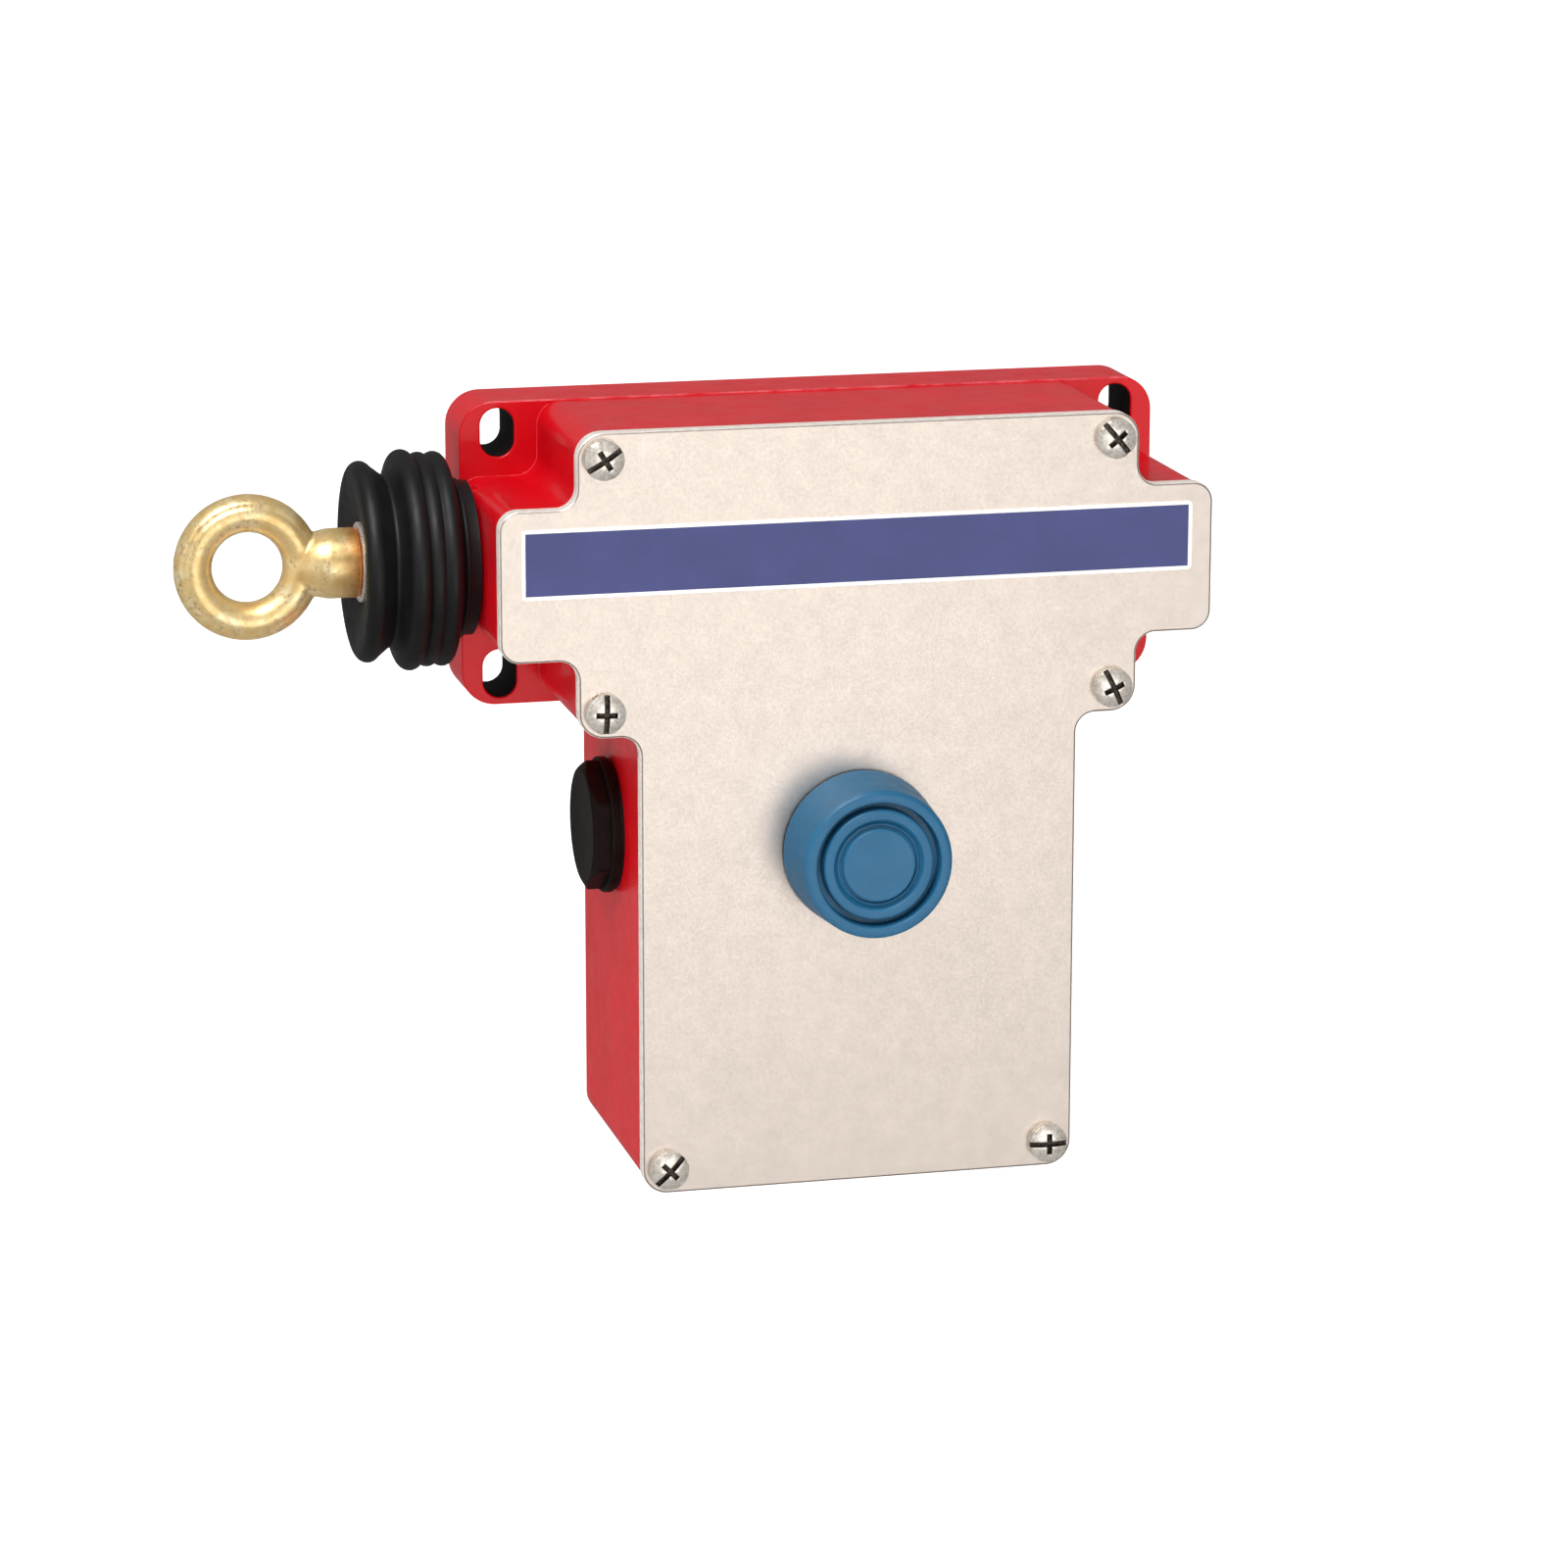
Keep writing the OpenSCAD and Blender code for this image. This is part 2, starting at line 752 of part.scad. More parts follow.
module mechanism_bracket() {
    spring_wall_front = shaft_y - spring_wall_half_h - 1.5;
    color("#B7BABC")
        difference() {
            union() {
                block([-bracket_half_w, bracket_half_w], [plate_y, plate_back_y], [bracket_low, bracket_top]);
                block([-contact_x - case_w / 2 - 2, contact_x + case_w / 2 + 2], [plate_y, plate_back_y],
                    [bracket_foot, bracket_low + over]);
                // Wall that the main spring pushes on
                block([spring_wall_x, spring_wall_x + plate_t], [spring_wall_front, plate_y + over],
                    [shaft_z - spring_wall_half_h, shaft_z + spring_wall_half_h]);
                // Ears for the pivot pin
                for (s = sides)
                    cross_slab(s > 0 ? ear_gap : -ear_gap - ear_t, s > 0 ? ear_gap + ear_t : -ear_gap) {
                        translate([pivot_y, pivot_z])
                            circle(pivot_r + 2.5);
                        translate([pivot_y, pivot_z - pivot_r - 2.5])
                            square([plate_y + over - pivot_y, 2 * pivot_r + 5]);
                    }
            }
            rod_x(spring_wall_x - over, spring_wall_x + plate_t + over, shaft_r + fit);
            rod_x(-ear_gap - ear_t - over, ear_gap + ear_t + over, pivot_r + fit, pivot_y, pivot_z);
            for (sx = sides, z = [bracket_low + bracket_screw_edge, bracket_top - bracket_screw_edge])
                rod_y(plate_y - over, plate_back_y + over, m4_r + screw_clear, sx * bracket_screw_x, z);
            rod_y(plate_y - over, plate_back_y + over, latch_boss_r + 0.5, 0, latch_spring_z);
            for (s = sides)
                rod_y(plate_y - over, plate_back_y + over, m3_r + fit, s * contact_x, terminal_z);
        }
}

module bracket_screws() {
    color("#C9C5BD")
        for (sx = sides, z = [bracket_low + bracket_screw_edge, bracket_top - bracket_screw_edge])
            pan_screw(sx * bracket_screw_x, plate_y, z, m4_r, plate_t + 5.5, small_head_h);
}

module latch_lever() {
    hook_y = lever_back_y + 1 + hook_depth;
    color("#C7B58A")
        difference() {
            union() {
                cross_slab(-lever_w / 2, lever_w / 2) {
                    translate([lever_front_y, lever_foot_z])
                        square([lever_t, shaft_z + hook_half_h - lever_foot_z]);
                    translate([lever_front_y, shaft_z - hook_half_h])
                        square([hook_y - lever_front_y, 2 * hook_half_h]);
                }
                rod_x(-hub_half_w, hub_half_w, hub_r, pivot_y, pivot_z);
            }
            rod_x(-hub_half_w - over, hub_half_w + over, pivot_r + fit, pivot_y, pivot_z);
        }
}

module pivot_pin() {
    half = ear_gap + ear_t + clip_t + 1.2;
    groove_x = ear_gap + ear_t + 0.1;
    color("#8E9194")
        difference() {
            rod_x(-half, half, pivot_r, pivot_y, pivot_z);
            for (s = sides)
                translate([s * (groove_x + clip_t / 2 + 0.1), pivot_y, pivot_z])
                    rotate([0, 90, 0])
                        difference() {
                            cylinder(h = clip_t + 0.2, r = pivot_r + over, center = true);
                            cylinder(h = clip_t + over, r = pivot_r - clip_groove, center = true);
                        }
        }
}

// A snap ring around a bar along X, open at its foot
module snap_ring(t, r_in, r_out) {
    translate([-t / 2, 0, 0])
        rotate([90, 0, 90])
            linear_extrude(t)
                difference() {
                    circle(r_out);
                    circle(r_in);
                    translate([-r_in * 0.8, -r_out - over])
                        square([1.6 * r_in, r_out + over]);
                }
}

module pivot_clips() {
    color("#70757A")
        for (s = sides)
            translate([s * (ear_gap + ear_t + 0.2 + clip_t / 2), pivot_y, pivot_z])
                snap_ring(clip_t, pivot_r - clip_groove + fit, clip_r);
}

module latch_spring() {
    length = latch_boss_y - lever_back_y - 2 * gap;
    color("#9DA0A3")
        translate([0, latch_boss_y - gap, latch_spring_z])
            rotate([90, 0, 0])
                coil(latch_coil_r, latch_wire, length, length / 2);
}

// ---- Reset button ----

// Places a shape on the cover's front, with its Z pointing out of the cover
module on_cover() {
    translate([0, cover_y, reset_z])
        rotate([90, 0, 0])
            children();
}

module reset_seal() {
    color("#1B1B1B")
        on_cover()
            difference() {
                cylinder(h = seal_t, r = boot_r - 0.2);
                translate([0, 0, -over])
                    cylinder(h = seal_t + 2 * over, r = bezel_r + fit);
            }
}

module reset_boot() {
    rim_r = boot_r - 1;
    inner_r = boot_r - boot_t - 0.6;
    color("#2F78B0")
        on_cover()
            rotate_extrude()
                difference() {
                    polygon([
                        [0, seal_t], [boot_r, seal_t], [boot_r, seal_t + 1.6], [rim_r, boot_h - 1.2],
                        [rim_r - 0.5, boot_h - 0.3], [rim_r - 1.1, boot_h], [13.1, boot_h], [12.8, boot_h - 3],
                        [11.4, boot_h - 3], [11.2, boot_h - 0.2], [9.8, boot_h - 0.2], [9.6, boot_h - 1],
                        [8.3, boot_h - 1], [8.2, boot_h - 0.3], [7.6, boot_h - 0.3], [7.5, boot_h - 0.8],
                        [7.2, boot_h - 0.8], [7.1, boot_h], [0, boot_h]
                    ]);
                    // Room for the bezel's flange below, and for the cap above
                    square([inner_r, boot_h - 4.5]);
                    square([cap_r + 0.6, cap_top + gap]);
                }
}

module reset_bezel() {
    color("#BFC2C4")
        on_cover()
            difference() {
                union() {
                    translate([0, 0, seal_t])
                        cylinder(h = bezel_flange_t, r = bezel_flange_r);
                    translate([0, 0, -bezel_foot])
                        cylinder(h = bezel_foot + seal_t + over, r = bezel_r);
                }
                translate([0, 0, -bezel_foot - over])
                    cylinder(h = bezel_foot + 2 * bezel_well, r = stem_r + fit);
                translate([0, 0, -bezel_well])
                    cylinder(h = bezel_well + bezel_flange_t + 2 * over, r = bezel_well_r);
            }
}

module bezel_nut() {
    nut_y = cover_back_y + bezel_nut_t;
    color("#BFC2C4")
        translate([0, 0, reset_z])
            slab(cover_back_y, nut_y)
                difference() {
                    hexagon(bezel_nut_af);
                    circle(bezel_r + fit);
                }
}

module reset_button() {
    clip_groove_h = bezel_foot + gap - 0.1;
    stem_end = lever_front_y - gap - cover_y;
    color("#D8D8D6")
        on_cover()
            difference() {
                union() {
                    translate([0, 0, cap_top - cap_t])
                        cylinder(h = cap_t, r = cap_r);
                    translate([0, 0, -stem_end + nose_r])
                        cylinder(h = stem_end - nose_r + cap_top - cap_t / 2, r = nose_r);
                    translate([0, 0, -stem_end + nose_r])
                        sphere(nose_r);
                    translate([0, 0, -stem_end + 3])
                        cylinder(h = stem_end - 3 + cap_top - cap_t / 2, r = stem_r);
                }
                translate([0, 0, -clip_groove_h - stem_clip_t - 0.2])
                    difference() {
                        cylinder(h = stem_clip_t + 0.2, r = stem_r + over);
                        translate([0, 0, -over])
                            cylinder(h = stem_clip_t + 2 * over, r = stem_r - 0.5);
                    }
            }
}

module stem_clip() {
    color("#70757A")
        translate([0, cover_y + bezel_foot + gap + stem_clip_t / 2, reset_z])
            rotate([0, 0, 90])
                snap_ring(stem_clip_t, stem_r - 0.5 + fit, stem_r + 2);
}

module reset_spring() {
    length = cap_top - cap_t + bezel_well - 2 * gap;
    color("#9DA0A3")
        on_cover()
            translate([0, 0, -bezel_well + gap])
                coil(stem_r + 2.2, reset_wire, length, length / 2.4);
}

// ---- Contact blocks, each made about X = 0 and moved to its side ----

module contact_case() {
    color("#2B2D30")
        difference() {
            block([-case_w / 2, case_w / 2], [case_front_y, plate_y], [case_foot, case_top]);
            // Contact chamber, open to the front
            block([-case_w / 2 + case_wall, case_w / 2 - case_wall],
                [case_front_y - over, plate_y - case_wall], [case_floor, case_top - case_wall]);
            translate([0, shaft_y, case_top - case_wall - over])
                cylinder(h = case_wall + 2 * over, r = plunger_r + fit);
            for (s = sides) {
                // Terminal pocket, and the slot that the contact strip passes through
                block([s * terminal_x - pocket_half_w, s * terminal_x + pocket_half_w],
                    [case_front_y - over, strip_front_y + strip_t + 0.1],
                    [terminal_z - pocket_half_h, terminal_z + pocket_half_h]);
                translate([s * (strip_x - strip_t / 2), shaft_y, (terminal_z + case_floor) / 2])
                    cube([strip_t + gap, strip_w + gap, case_floor - terminal_z + slot_over], center = true);
                rod_y(strip_front_y, strip_front_y + 10, m3_r, s * terminal_x, terminal_z);
            }
            rod_y(case_front_y - over, plate_y + over, m3_r + fit, 0, terminal_z);
        }
}

module contact_lid() {
    color("#3A3D41")
        block([-case_w / 2, case_w / 2], [case_front_y - lid_t, case_front_y],
            [case_floor - 0.8, case_top]);
}

module fixed_contacts() {
    foot = terminal_z - strip_foot_half_h;
    top = bridge_z + gap + strip_t;
    color("#C98A45")
        for (s = sides)
            difference() {
                union() {
                    translate([s * (strip_x - strip_t / 2), shaft_y, (foot + top) / 2])
                        cube([strip_t, strip_w, top - foot], center = true);
                    block([min(s * strip_x, s * (plunger_r + 1)), max(s * strip_x, s * (plunger_r + 1))],
                        [strip_front_y, strip_front_y + strip_w], [top - strip_t, top]);
                    block([min(s * strip_x, s * (plunger_r + 0.4)), max(s * strip_x, s * (plunger_r + 0.4))],
                        [strip_front_y, strip_front_y + strip_t], [foot, terminal_z + strip_foot_half_h]);
                }
                rod_y(strip_front_y - over, strip_front_y + strip_t + over, m3_r + fit,
                    s * terminal_x, terminal_z);
            }
}

module plunger() {
    dome_z = slider_floor - gap - plunger_r;
    color("#D24B35") {
        translate([0, shaft_y, bridge_z])
            cylinder(h = dome_z - bridge_z, r = plunger_r);
        translate([0, shaft_y, dome_z])
            sphere(plunger_r);
        translate([0, shaft_y, bridge_z - 4.8])
            cylinder(h = 5.8, r = spigot_pin_r);
    }
}

module contact_bridge() {
    color("#D9A65A")
        difference() {
            block([-bridge_half_l, bridge_half_l], [shaft_y - strip_w / 2, shaft_y + strip_w / 2],
                [bridge_z - strip_t, bridge_z]);
            translate([0, shaft_y, bridge_z - strip_t - over])
                cylinder(h = strip_t + 2 * over, r = spigot_pin_r + fit);
        }
}

module plunger_spring() {
    length = bridge_z - strip_t - case_floor - 2 * gap;
    color("#9DA0A3")
        translate([0, shaft_y, case_floor + gap])
            coil(plunger_coil_r, plunger_wire, length, length / 1.5);
}

module on_left() {
    translate([-contact_x, 0, 0])
        children();
}

module on_right() {
    translate([contact_x, 0, 0])
        children();
}

module case_screws() {
    color("#C9C5BD")
        for (s = sides)
            pan_screw(s * contact_x, case_front_y, terminal_z, m3_r, case_d + plate_t, 1.8, 90);
}

module terminal_screws() {
    color("#D9C27A")
        for (s = sides, t = sides)
            pan_screw(s * contact_x + t * terminal_x, strip_front_y, terminal_z, 1.3, 8, 1.8);
}

// ---- Earth terminal ----

module earth_washer() {
    color("#D9C27A")
        difference() {
            rod_y(earth_post_y - 0.8, earth_post_y, post_r, earth_x, earth_z);
            rod_y(earth_post_y - 0.8 - over, earth_post_y + over, m4_r + fit, earth_x, earth_z);
        }
}

module earth_screw() {
    color("#2F8F4E")
        pan_screw(earth_x, earth_post_y - 0.8, earth_z, m4_r, 8, small_head_h);
}

housing();
cover_gasket();
cover_plate();
cover_screws();
label_strip();
plug_seal_left();
plug_seal_right();
blanking_plug_left();
blanking_plug_right();
guide_bush();
bellows();
rope_eye();
neck_washer();
pull_shaft();
cam_slider();
slider_pin();
main_spring();
spring_washer();
shaft_nut();
mechanism_bracket();
bracket_screws();
latch_lever();
pivot_pin();
pivot_clips();
latch_spring();
reset_boot();
reset_seal();
reset_bezel();
bezel_nut();
reset_button();
stem_clip();
reset_spring();
on_left() contact_case();  // contact_case_left
on_right() contact_case();  // contact_case_right
on_left() contact_lid();  // contact_lid_left
on_right() contact_lid();  // contact_lid_right
case_screws();
on_left() fixed_contacts();  // fixed_contacts_left
on_right() fixed_contacts();  // fixed_contacts_right
terminal_screws();
on_left() plunger();  // plunger_left
on_right() plunger();  // plunger_right
on_left() contact_bridge();  // contact_bridge_left
on_right() contact_bridge();  // contact_bridge_right
on_left() plunger_spring();  // plunger_spring_left
on_right() plunger_spring();  // plunger_spring_right
earth_screw();
earth_washer();
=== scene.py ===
"""Visual model of a latching rope-pull emergency-stop switch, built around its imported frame.

The frame gives the places of the pieces. Lengths are in metres: X runs right, Y into the wall and Z up.
"""
import json
import math

import bmesh
import bpy
from mathutils import Matrix, Quaternion, Vector


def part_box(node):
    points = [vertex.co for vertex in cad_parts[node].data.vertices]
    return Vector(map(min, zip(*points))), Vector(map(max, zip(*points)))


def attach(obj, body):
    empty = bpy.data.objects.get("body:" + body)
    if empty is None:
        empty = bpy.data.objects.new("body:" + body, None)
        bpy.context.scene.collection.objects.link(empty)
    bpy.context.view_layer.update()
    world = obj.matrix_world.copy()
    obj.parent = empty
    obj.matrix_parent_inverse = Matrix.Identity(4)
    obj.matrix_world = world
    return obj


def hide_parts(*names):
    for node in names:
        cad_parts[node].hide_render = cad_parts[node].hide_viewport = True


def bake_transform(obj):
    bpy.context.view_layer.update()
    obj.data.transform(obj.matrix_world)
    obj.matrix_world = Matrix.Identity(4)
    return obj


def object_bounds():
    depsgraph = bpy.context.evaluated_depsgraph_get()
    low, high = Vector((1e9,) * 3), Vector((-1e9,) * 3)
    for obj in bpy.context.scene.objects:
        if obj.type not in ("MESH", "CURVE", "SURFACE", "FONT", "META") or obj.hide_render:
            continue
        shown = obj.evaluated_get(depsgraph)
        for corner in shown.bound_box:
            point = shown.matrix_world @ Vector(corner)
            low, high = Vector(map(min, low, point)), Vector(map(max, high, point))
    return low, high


bl_info = {
    "name": "Rope-pull switch",
    "version": (1, 0, 0),
    "blender": (4, 5, 0),
    "location": "3D View > Sidebar > Rope-pull switch",
    "description": "Builds the finished pieces of a rope-pull emergency-stop switch around its frame",
    "category": "Object",
}

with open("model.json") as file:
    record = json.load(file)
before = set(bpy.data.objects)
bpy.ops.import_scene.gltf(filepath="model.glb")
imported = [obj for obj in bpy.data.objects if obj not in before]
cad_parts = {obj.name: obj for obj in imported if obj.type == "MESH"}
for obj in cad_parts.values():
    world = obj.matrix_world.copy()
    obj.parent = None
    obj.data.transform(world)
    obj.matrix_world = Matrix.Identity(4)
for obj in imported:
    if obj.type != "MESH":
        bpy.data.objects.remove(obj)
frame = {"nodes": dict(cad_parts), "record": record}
cad_box = [list(corner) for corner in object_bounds()]

MM = 0.001
# How close a point is to a plane that it counts as on, and how close two points are to be one.
NEAR = 0.05 * MM
WELD = 0.0005 * MM
TOUCH = 0.001 * MM
SLOT_OF = {part["node"]: part["material_slot"] for part in frame["record"]["subparts"]}
X, Y, Z = Vector((1, 0, 0)), Vector((0, 1, 0)), Vector((0, 0, 1))

# ---- Places read from the frame ----


def middle(node):
    """Middle of a CAD node's box."""
    low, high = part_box(node)
    return (low + high) / 2


EYE_RADIUS = 14.9 * MM
WALL_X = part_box("bellows")[1].x
SHAFT = Vector((WALL_X, middle("pull_shaft").y, middle("pull_shaft").z))
EYE = Vector((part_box("rope_eye")[0].x + EYE_RADIUS, SHAFT.y, SHAFT.z))
COVER_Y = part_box("cover_plate")[0].y
RESET = Vector((middle("reset_boot").x, COVER_Y, middle("reset_boot").z))
LUG_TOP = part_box("housing")[1].z
LUG_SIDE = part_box("cover_plate")[1].x
LUG_Y = -16 * MM
LEG_X = 44.8 * MM
LUG_CORNER = 7.1 * MM
SLOT_AT = Vector((65.5, 0, 25)) * MM
SLOT_HALF_WIDTH = 3.7 * MM
SLOT_HALF_HEIGHT = 5.2 * MM


# ---- Shaders ----


# Sockets of a Mix node that mixes colours.
MIX_SHARE, MIX_FIRST, MIX_SECOND, MIX_RESULT = 0, 6, 7, 2


def linear(code):
    """Linear colour of an sRGB hex code."""
    parts = [int(code[i:i + 2], 16) / 255 for i in (1, 3, 5)]
    return [c / 12.92 if c <= 0.04045 else ((c + 0.055) / 1.055) ** 2.4 for c in parts] + [1.0]


def shade(colour, share):
    """A colour setting made darker or lighter by a share of its light."""
    return [min(1.0, part * share) for part in colour] + [1.0]


def add(tree, kind, values=None, links=None, **settings):
    """Adds a node to a tree with its settings, its input values and the sockets that feed it."""
    made = tree.nodes.new(kind)
    for key, value in settings.items():
        setattr(made, key, value)
    for key, value in (values or {}).items():
        made.inputs[key].default_value = value
    for key, socket in (links or {}).items():
        tree.links.new(socket, made.inputs[key])
    return made


def new_finish(name, **values):
    """A material whose shader has the given constants. Returns the material, its tree and its shader."""
    finish = bpy.data.materials.new(name)
    finish.use_nodes = True
    tree = finish.node_tree
    shader = tree.nodes["Principled BSDF"]
    for key, value in values.items():
        shader.inputs[key.replace("_", " ")].default_value = value
    return finish, tree, shader


def per_metre(size_mm):
    """Scale of a pattern whose features are about size_mm across."""
    return 1 / (size_mm * MM)


def noise(tree, size_mm, detail=2.0, roughness=0.5):
    """Noise with features of size_mm on Object coordinates."""
    place = add(tree, "ShaderNodeTexCoord").outputs["Object"]
    values = {"Scale": per_metre(size_mm), "Detail": detail, "Roughness": roughness}
    return add(tree, "ShaderNodeTexNoise", values, {"Vector": place}).outputs["Fac"]


def ramp(tree, factor, stops):
    """Greys, hex codes or linear colours at places along a factor."""
    made = add(tree, "ShaderNodeValToRGB", links={"Fac": factor})
    band = made.color_ramp
    while len(band.elements) < len(stops):
        band.elements.new(0.5)
    for element, (place, colour) in zip(band.elements, stops):
        element.position = place
        if isinstance(colour, str):
            element.color = linear(colour)
        else:
            element.color = [colour] * 3 + [1.0] if isinstance(colour, float) else colour
    return made.outputs["Color"]


def bump(tree, shader, height, depth_mm, strength=1.0, under=None):
    """Adds relief of depth_mm from a height, over the relief given in under."""
    links = {"Height": height}
    if under:
        links["Normal"] = under
    made = add(tree, "ShaderNodeBump", {"Distance": depth_mm * MM, "Strength": strength}, links)
    tree.links.new(made.outputs["Normal"], shader.inputs["Normal"])
    return made.outputs["Normal"]


def gloss_enamel(tone):
    """Red stoving enamel on a pressure die casting: a deep even colour under a glossy skin.

    The skin has the soft orange peel of a sprayed coat, and the colour is a little lighter where it is thin.
    """
    finish, tree, shader = new_finish(
        "gloss_enamel", Roughness=0.34, Specular_IOR_Level=0.15, Coat_Weight=0.25, Coat_Roughness=0.07)
    colour = ramp(tree, noise(tree, 14, 3), [(0.3, shade(tone, 0.94)), (0.7, shade(tone, 1.06))])
    tree.links.new(colour, shader.inputs["Base Color"])
    cloud = ramp(tree, noise(tree, 6, 4), [(0.3, 0.28), (0.7, 0.4)])
    tree.links.new(cloud, shader.inputs["Roughness"])
    bump(tree, shader, noise(tree, 1.6, 2), 0.02, 0.35)
    return finish


def parting_highlight_enamel(tone):
    """Enamel over the trimmed parting line and in the fillets, paler in patches as a painted highlight."""
    finish, tree, shader = new_finish(
        "parting_highlight_enamel", Roughness=0.3, Specular_IOR_Level=0.4, Coat_Weight=0.25, Coat_Roughness=0.07)
    # The pale pink patches are painted highlight.
    patches = ramp(tree, noise(tree, 3.5, 4, 0.6), [(0.35, shade(tone, 1.0)), (0.65, "#E4626C")])
    tree.links.new(patches, shader.inputs["Base Color"])
    bump(tree, shader, noise(tree, 1.2, 3), 0.05, 0.5)
    return finish


def satin_stainless(tone):
    """Stainless sheet with a vibratory finish: warm silver, faintly clouded, with a fine even tooth."""
    finish, tree, shader = new_finish("satin_stainless", Metallic=1.0, Roughness=0.36)
    cloud = noise(tree, 3.5, 4, 0.6)
    speck = noise(tree, 0.7, 3, 0.65)
    both = add(tree, "ShaderNodeMath", {}, {0: cloud, 1: speck}, operation="ADD").outputs[0]
    half = add(tree, "ShaderNodeMath", {1: 0.5}, {0: both}, operation="MULTIPLY").outputs[0]
    colour = ramp(tree, half, [(0.38, shade(tone, 0.94)), (0.62, shade(tone, 1.06))])
    tree.links.new(colour, shader.inputs["Base Color"])
    tree.links.new(ramp(tree, speck, [(0.3, 0.32), (0.7, 0.42)]), shader.inputs["Roughness"])
    bump(tree, shader, speck, 0.004, 0.5)
    return finish


def tumbled_edge_highlight():
    """The sheet's sheared edge, tumbled matt so that it scatters the light, in a pale tone that is a painted
    highlight along the rim.
    """
    finish, tree, shader = new_finish("tumbled_edge_highlight", Metallic=0.35, Roughness=0.6)
    # The pale tone is a painted highlight on the rim.
    tone = ramp(tree, noise(tree, 1.5, 3), [(0.3, "#E2D8CE"), (0.7, "#F6EFE7")])
    tree.links.new(tone, shader.inputs["Base Color"])
    bump(tree, shader, noise(tree, 0.5, 2), 0.01, 0.4)
    return finish


def nickel_plate():
    """Nickel plate on machine screws: a warm bright metal with fine turning marks and dull spots."""
    finish, tree, shader = new_finish("nickel_plate", Metallic=0.75, Roughness=0.3)
    colour = ramp(tree, noise(tree, 0.9, 4, 0.6), [(0.35, "#E2D6C7"), (0.65, "#FFF9F0")])
    tree.links.new(colour, shader.inputs["Base Color"])
    tree.links.new(ramp(tree, noise(tree, 0.6, 3), [(0.3, 0.22), (0.7, 0.42)]), shader.inputs["Roughness"])
    bump(tree, shader, noise(tree, 0.3, 3), 0.006, 0.4)
    return finish


def recess_painted_shade():
    """The unpolished floor and walls of a driven recess, made dark as painted shade."""
    finish, tree, shader = new_finish("recess_painted_shade", Metallic=0.8, Roughness=0.5)
    colour = ramp(tree, noise(tree, 0.5, 3), [(0.35, "#2A251F"), (0.7, "#6A6156")])
    tree.links.new(colour, shader.inputs["Base Color"])
    return finish


def printed_film(name, low, high):
    """Screen-printed vinyl: even ink under a thin clear film, with a trace of the roller's texture."""
    finish, tree, shader = new_finish(name, Roughness=0.5, Specular_IOR_Level=0.3)
    tree.links.new(ramp(tree, noise(tree, 9, 3), [(0.3, low), (0.7, high)]), shader.inputs["Base Color"])
    bump(tree, shader, noise(tree, 0.5, 2), 0.004, 0.3)
    return finish


def moulded_rubber(name, low, high, roughness, grain_mm=0.45, shine=0.35):
    """Moulded rubber: a soft dry face with fine grain from the mould, and a little bloom in places."""
    finish, tree, shader = new_finish(name, Roughness=roughness, Specular_IOR_Level=shine)
    bloom = noise(tree, 7, 4, 0.6)
    tree.links.new(ramp(tree, bloom, [(0.3, low), (0.72, high)]), shader.inputs["Base Color"])
    rough = ramp(tree, noise(tree, 3, 3), [(0.3, roughness - 0.05), (0.7, roughness + 0.07)])
    tree.links.new(rough, shader.inputs["Roughness"])
    bump(tree, shader, noise(tree, grain_mm, 2), 0.012, 0.35)
    return finish


def moulded_plastic(name, low, high, roughness, shine=0.5):
    """Injection-moulded plastic: even colour with a fine satin spark texture."""
    finish, tree, shader = new_finish(name, Roughness=roughness, Specular_IOR_Level=shine)
    tree.links.new(ramp(tree, noise(tree, 5, 3), [(0.3, low), (0.7, high)]), shader.inputs["Base Color"])
    bump(tree, shader, noise(tree, 0.35, 2), 0.01, 0.3)
    return finish


def yellow_passivate():
    """Yellow passivate on a zinc-plated forging: pale gold that pools darker, with brown speckle.

    The forging keeps shallow dents from its scale, and the colour runs to orange where the bath pooled.
    """
    finish, tree, shader = new_finish("yellow_passivate", Metallic=0.65, Roughness=0.34)
    base = ramp(tree, noise(tree, 5, 4, 0.6), [(0.3, "#E8BC76"), (0.52, "#F4D697"), (0.75, "#FDEDC4")])
    speckle = ramp(tree, noise(tree, 1.3, 5, 0.72), [(0.5, 0.0), (0.72, 1.0)])
    patches = ramp(tree, noise(tree, 5, 2), [(0.44, 0.0), (0.62, 1.0)])
    place = add(tree, "ShaderNodeTexCoord").outputs["Object"]
    along = add(tree, "ShaderNodeSeparateXYZ", {}, {"Vector": place}).outputs["X"]
    neck_end = add(
        tree, "ShaderNodeMapRange", {"From Min": EYE.x + 18 * MM, "From Max": EYE.x + 22.5 * MM},
        {"Value": along}).outputs["Result"]
    pooled = add(tree, "ShaderNodeMath", {}, {0: patches, 1: neck_end}, operation="MAXIMUM").outputs[0]
    share = add(tree, "ShaderNodeMath", {}, {0: speckle, 1: pooled}, operation="MULTIPLY").outputs[0]
    stained = add(
        tree, "ShaderNodeMix", {MIX_SECOND: linear("#A5702E")}, {MIX_SHARE: share, MIX_FIRST: base},
        data_type="RGBA").outputs[MIX_RESULT]
    warmed = add(
        tree, "ShaderNodeMix", {MIX_SECOND: linear("#E2A35C")}, {MIX_SHARE: neck_end, MIX_FIRST: stained},
        data_type="RGBA", blend_type="MULTIPLY").outputs[MIX_RESULT]
    tree.links.new(warmed, shader.inputs["Base Color"])
    tree.links.new(ramp(tree, noise(tree, 1.2, 4), [(0.3, 0.28), (0.7, 0.46)]), shader.inputs["Roughness"])
    dents = bump(tree, shader, noise(tree, 3.5, 2), 0.12, 0.5)
    bump(tree, shader, noise(tree, 0.5, 3), 0.01, 0.4, dents)
    return finish


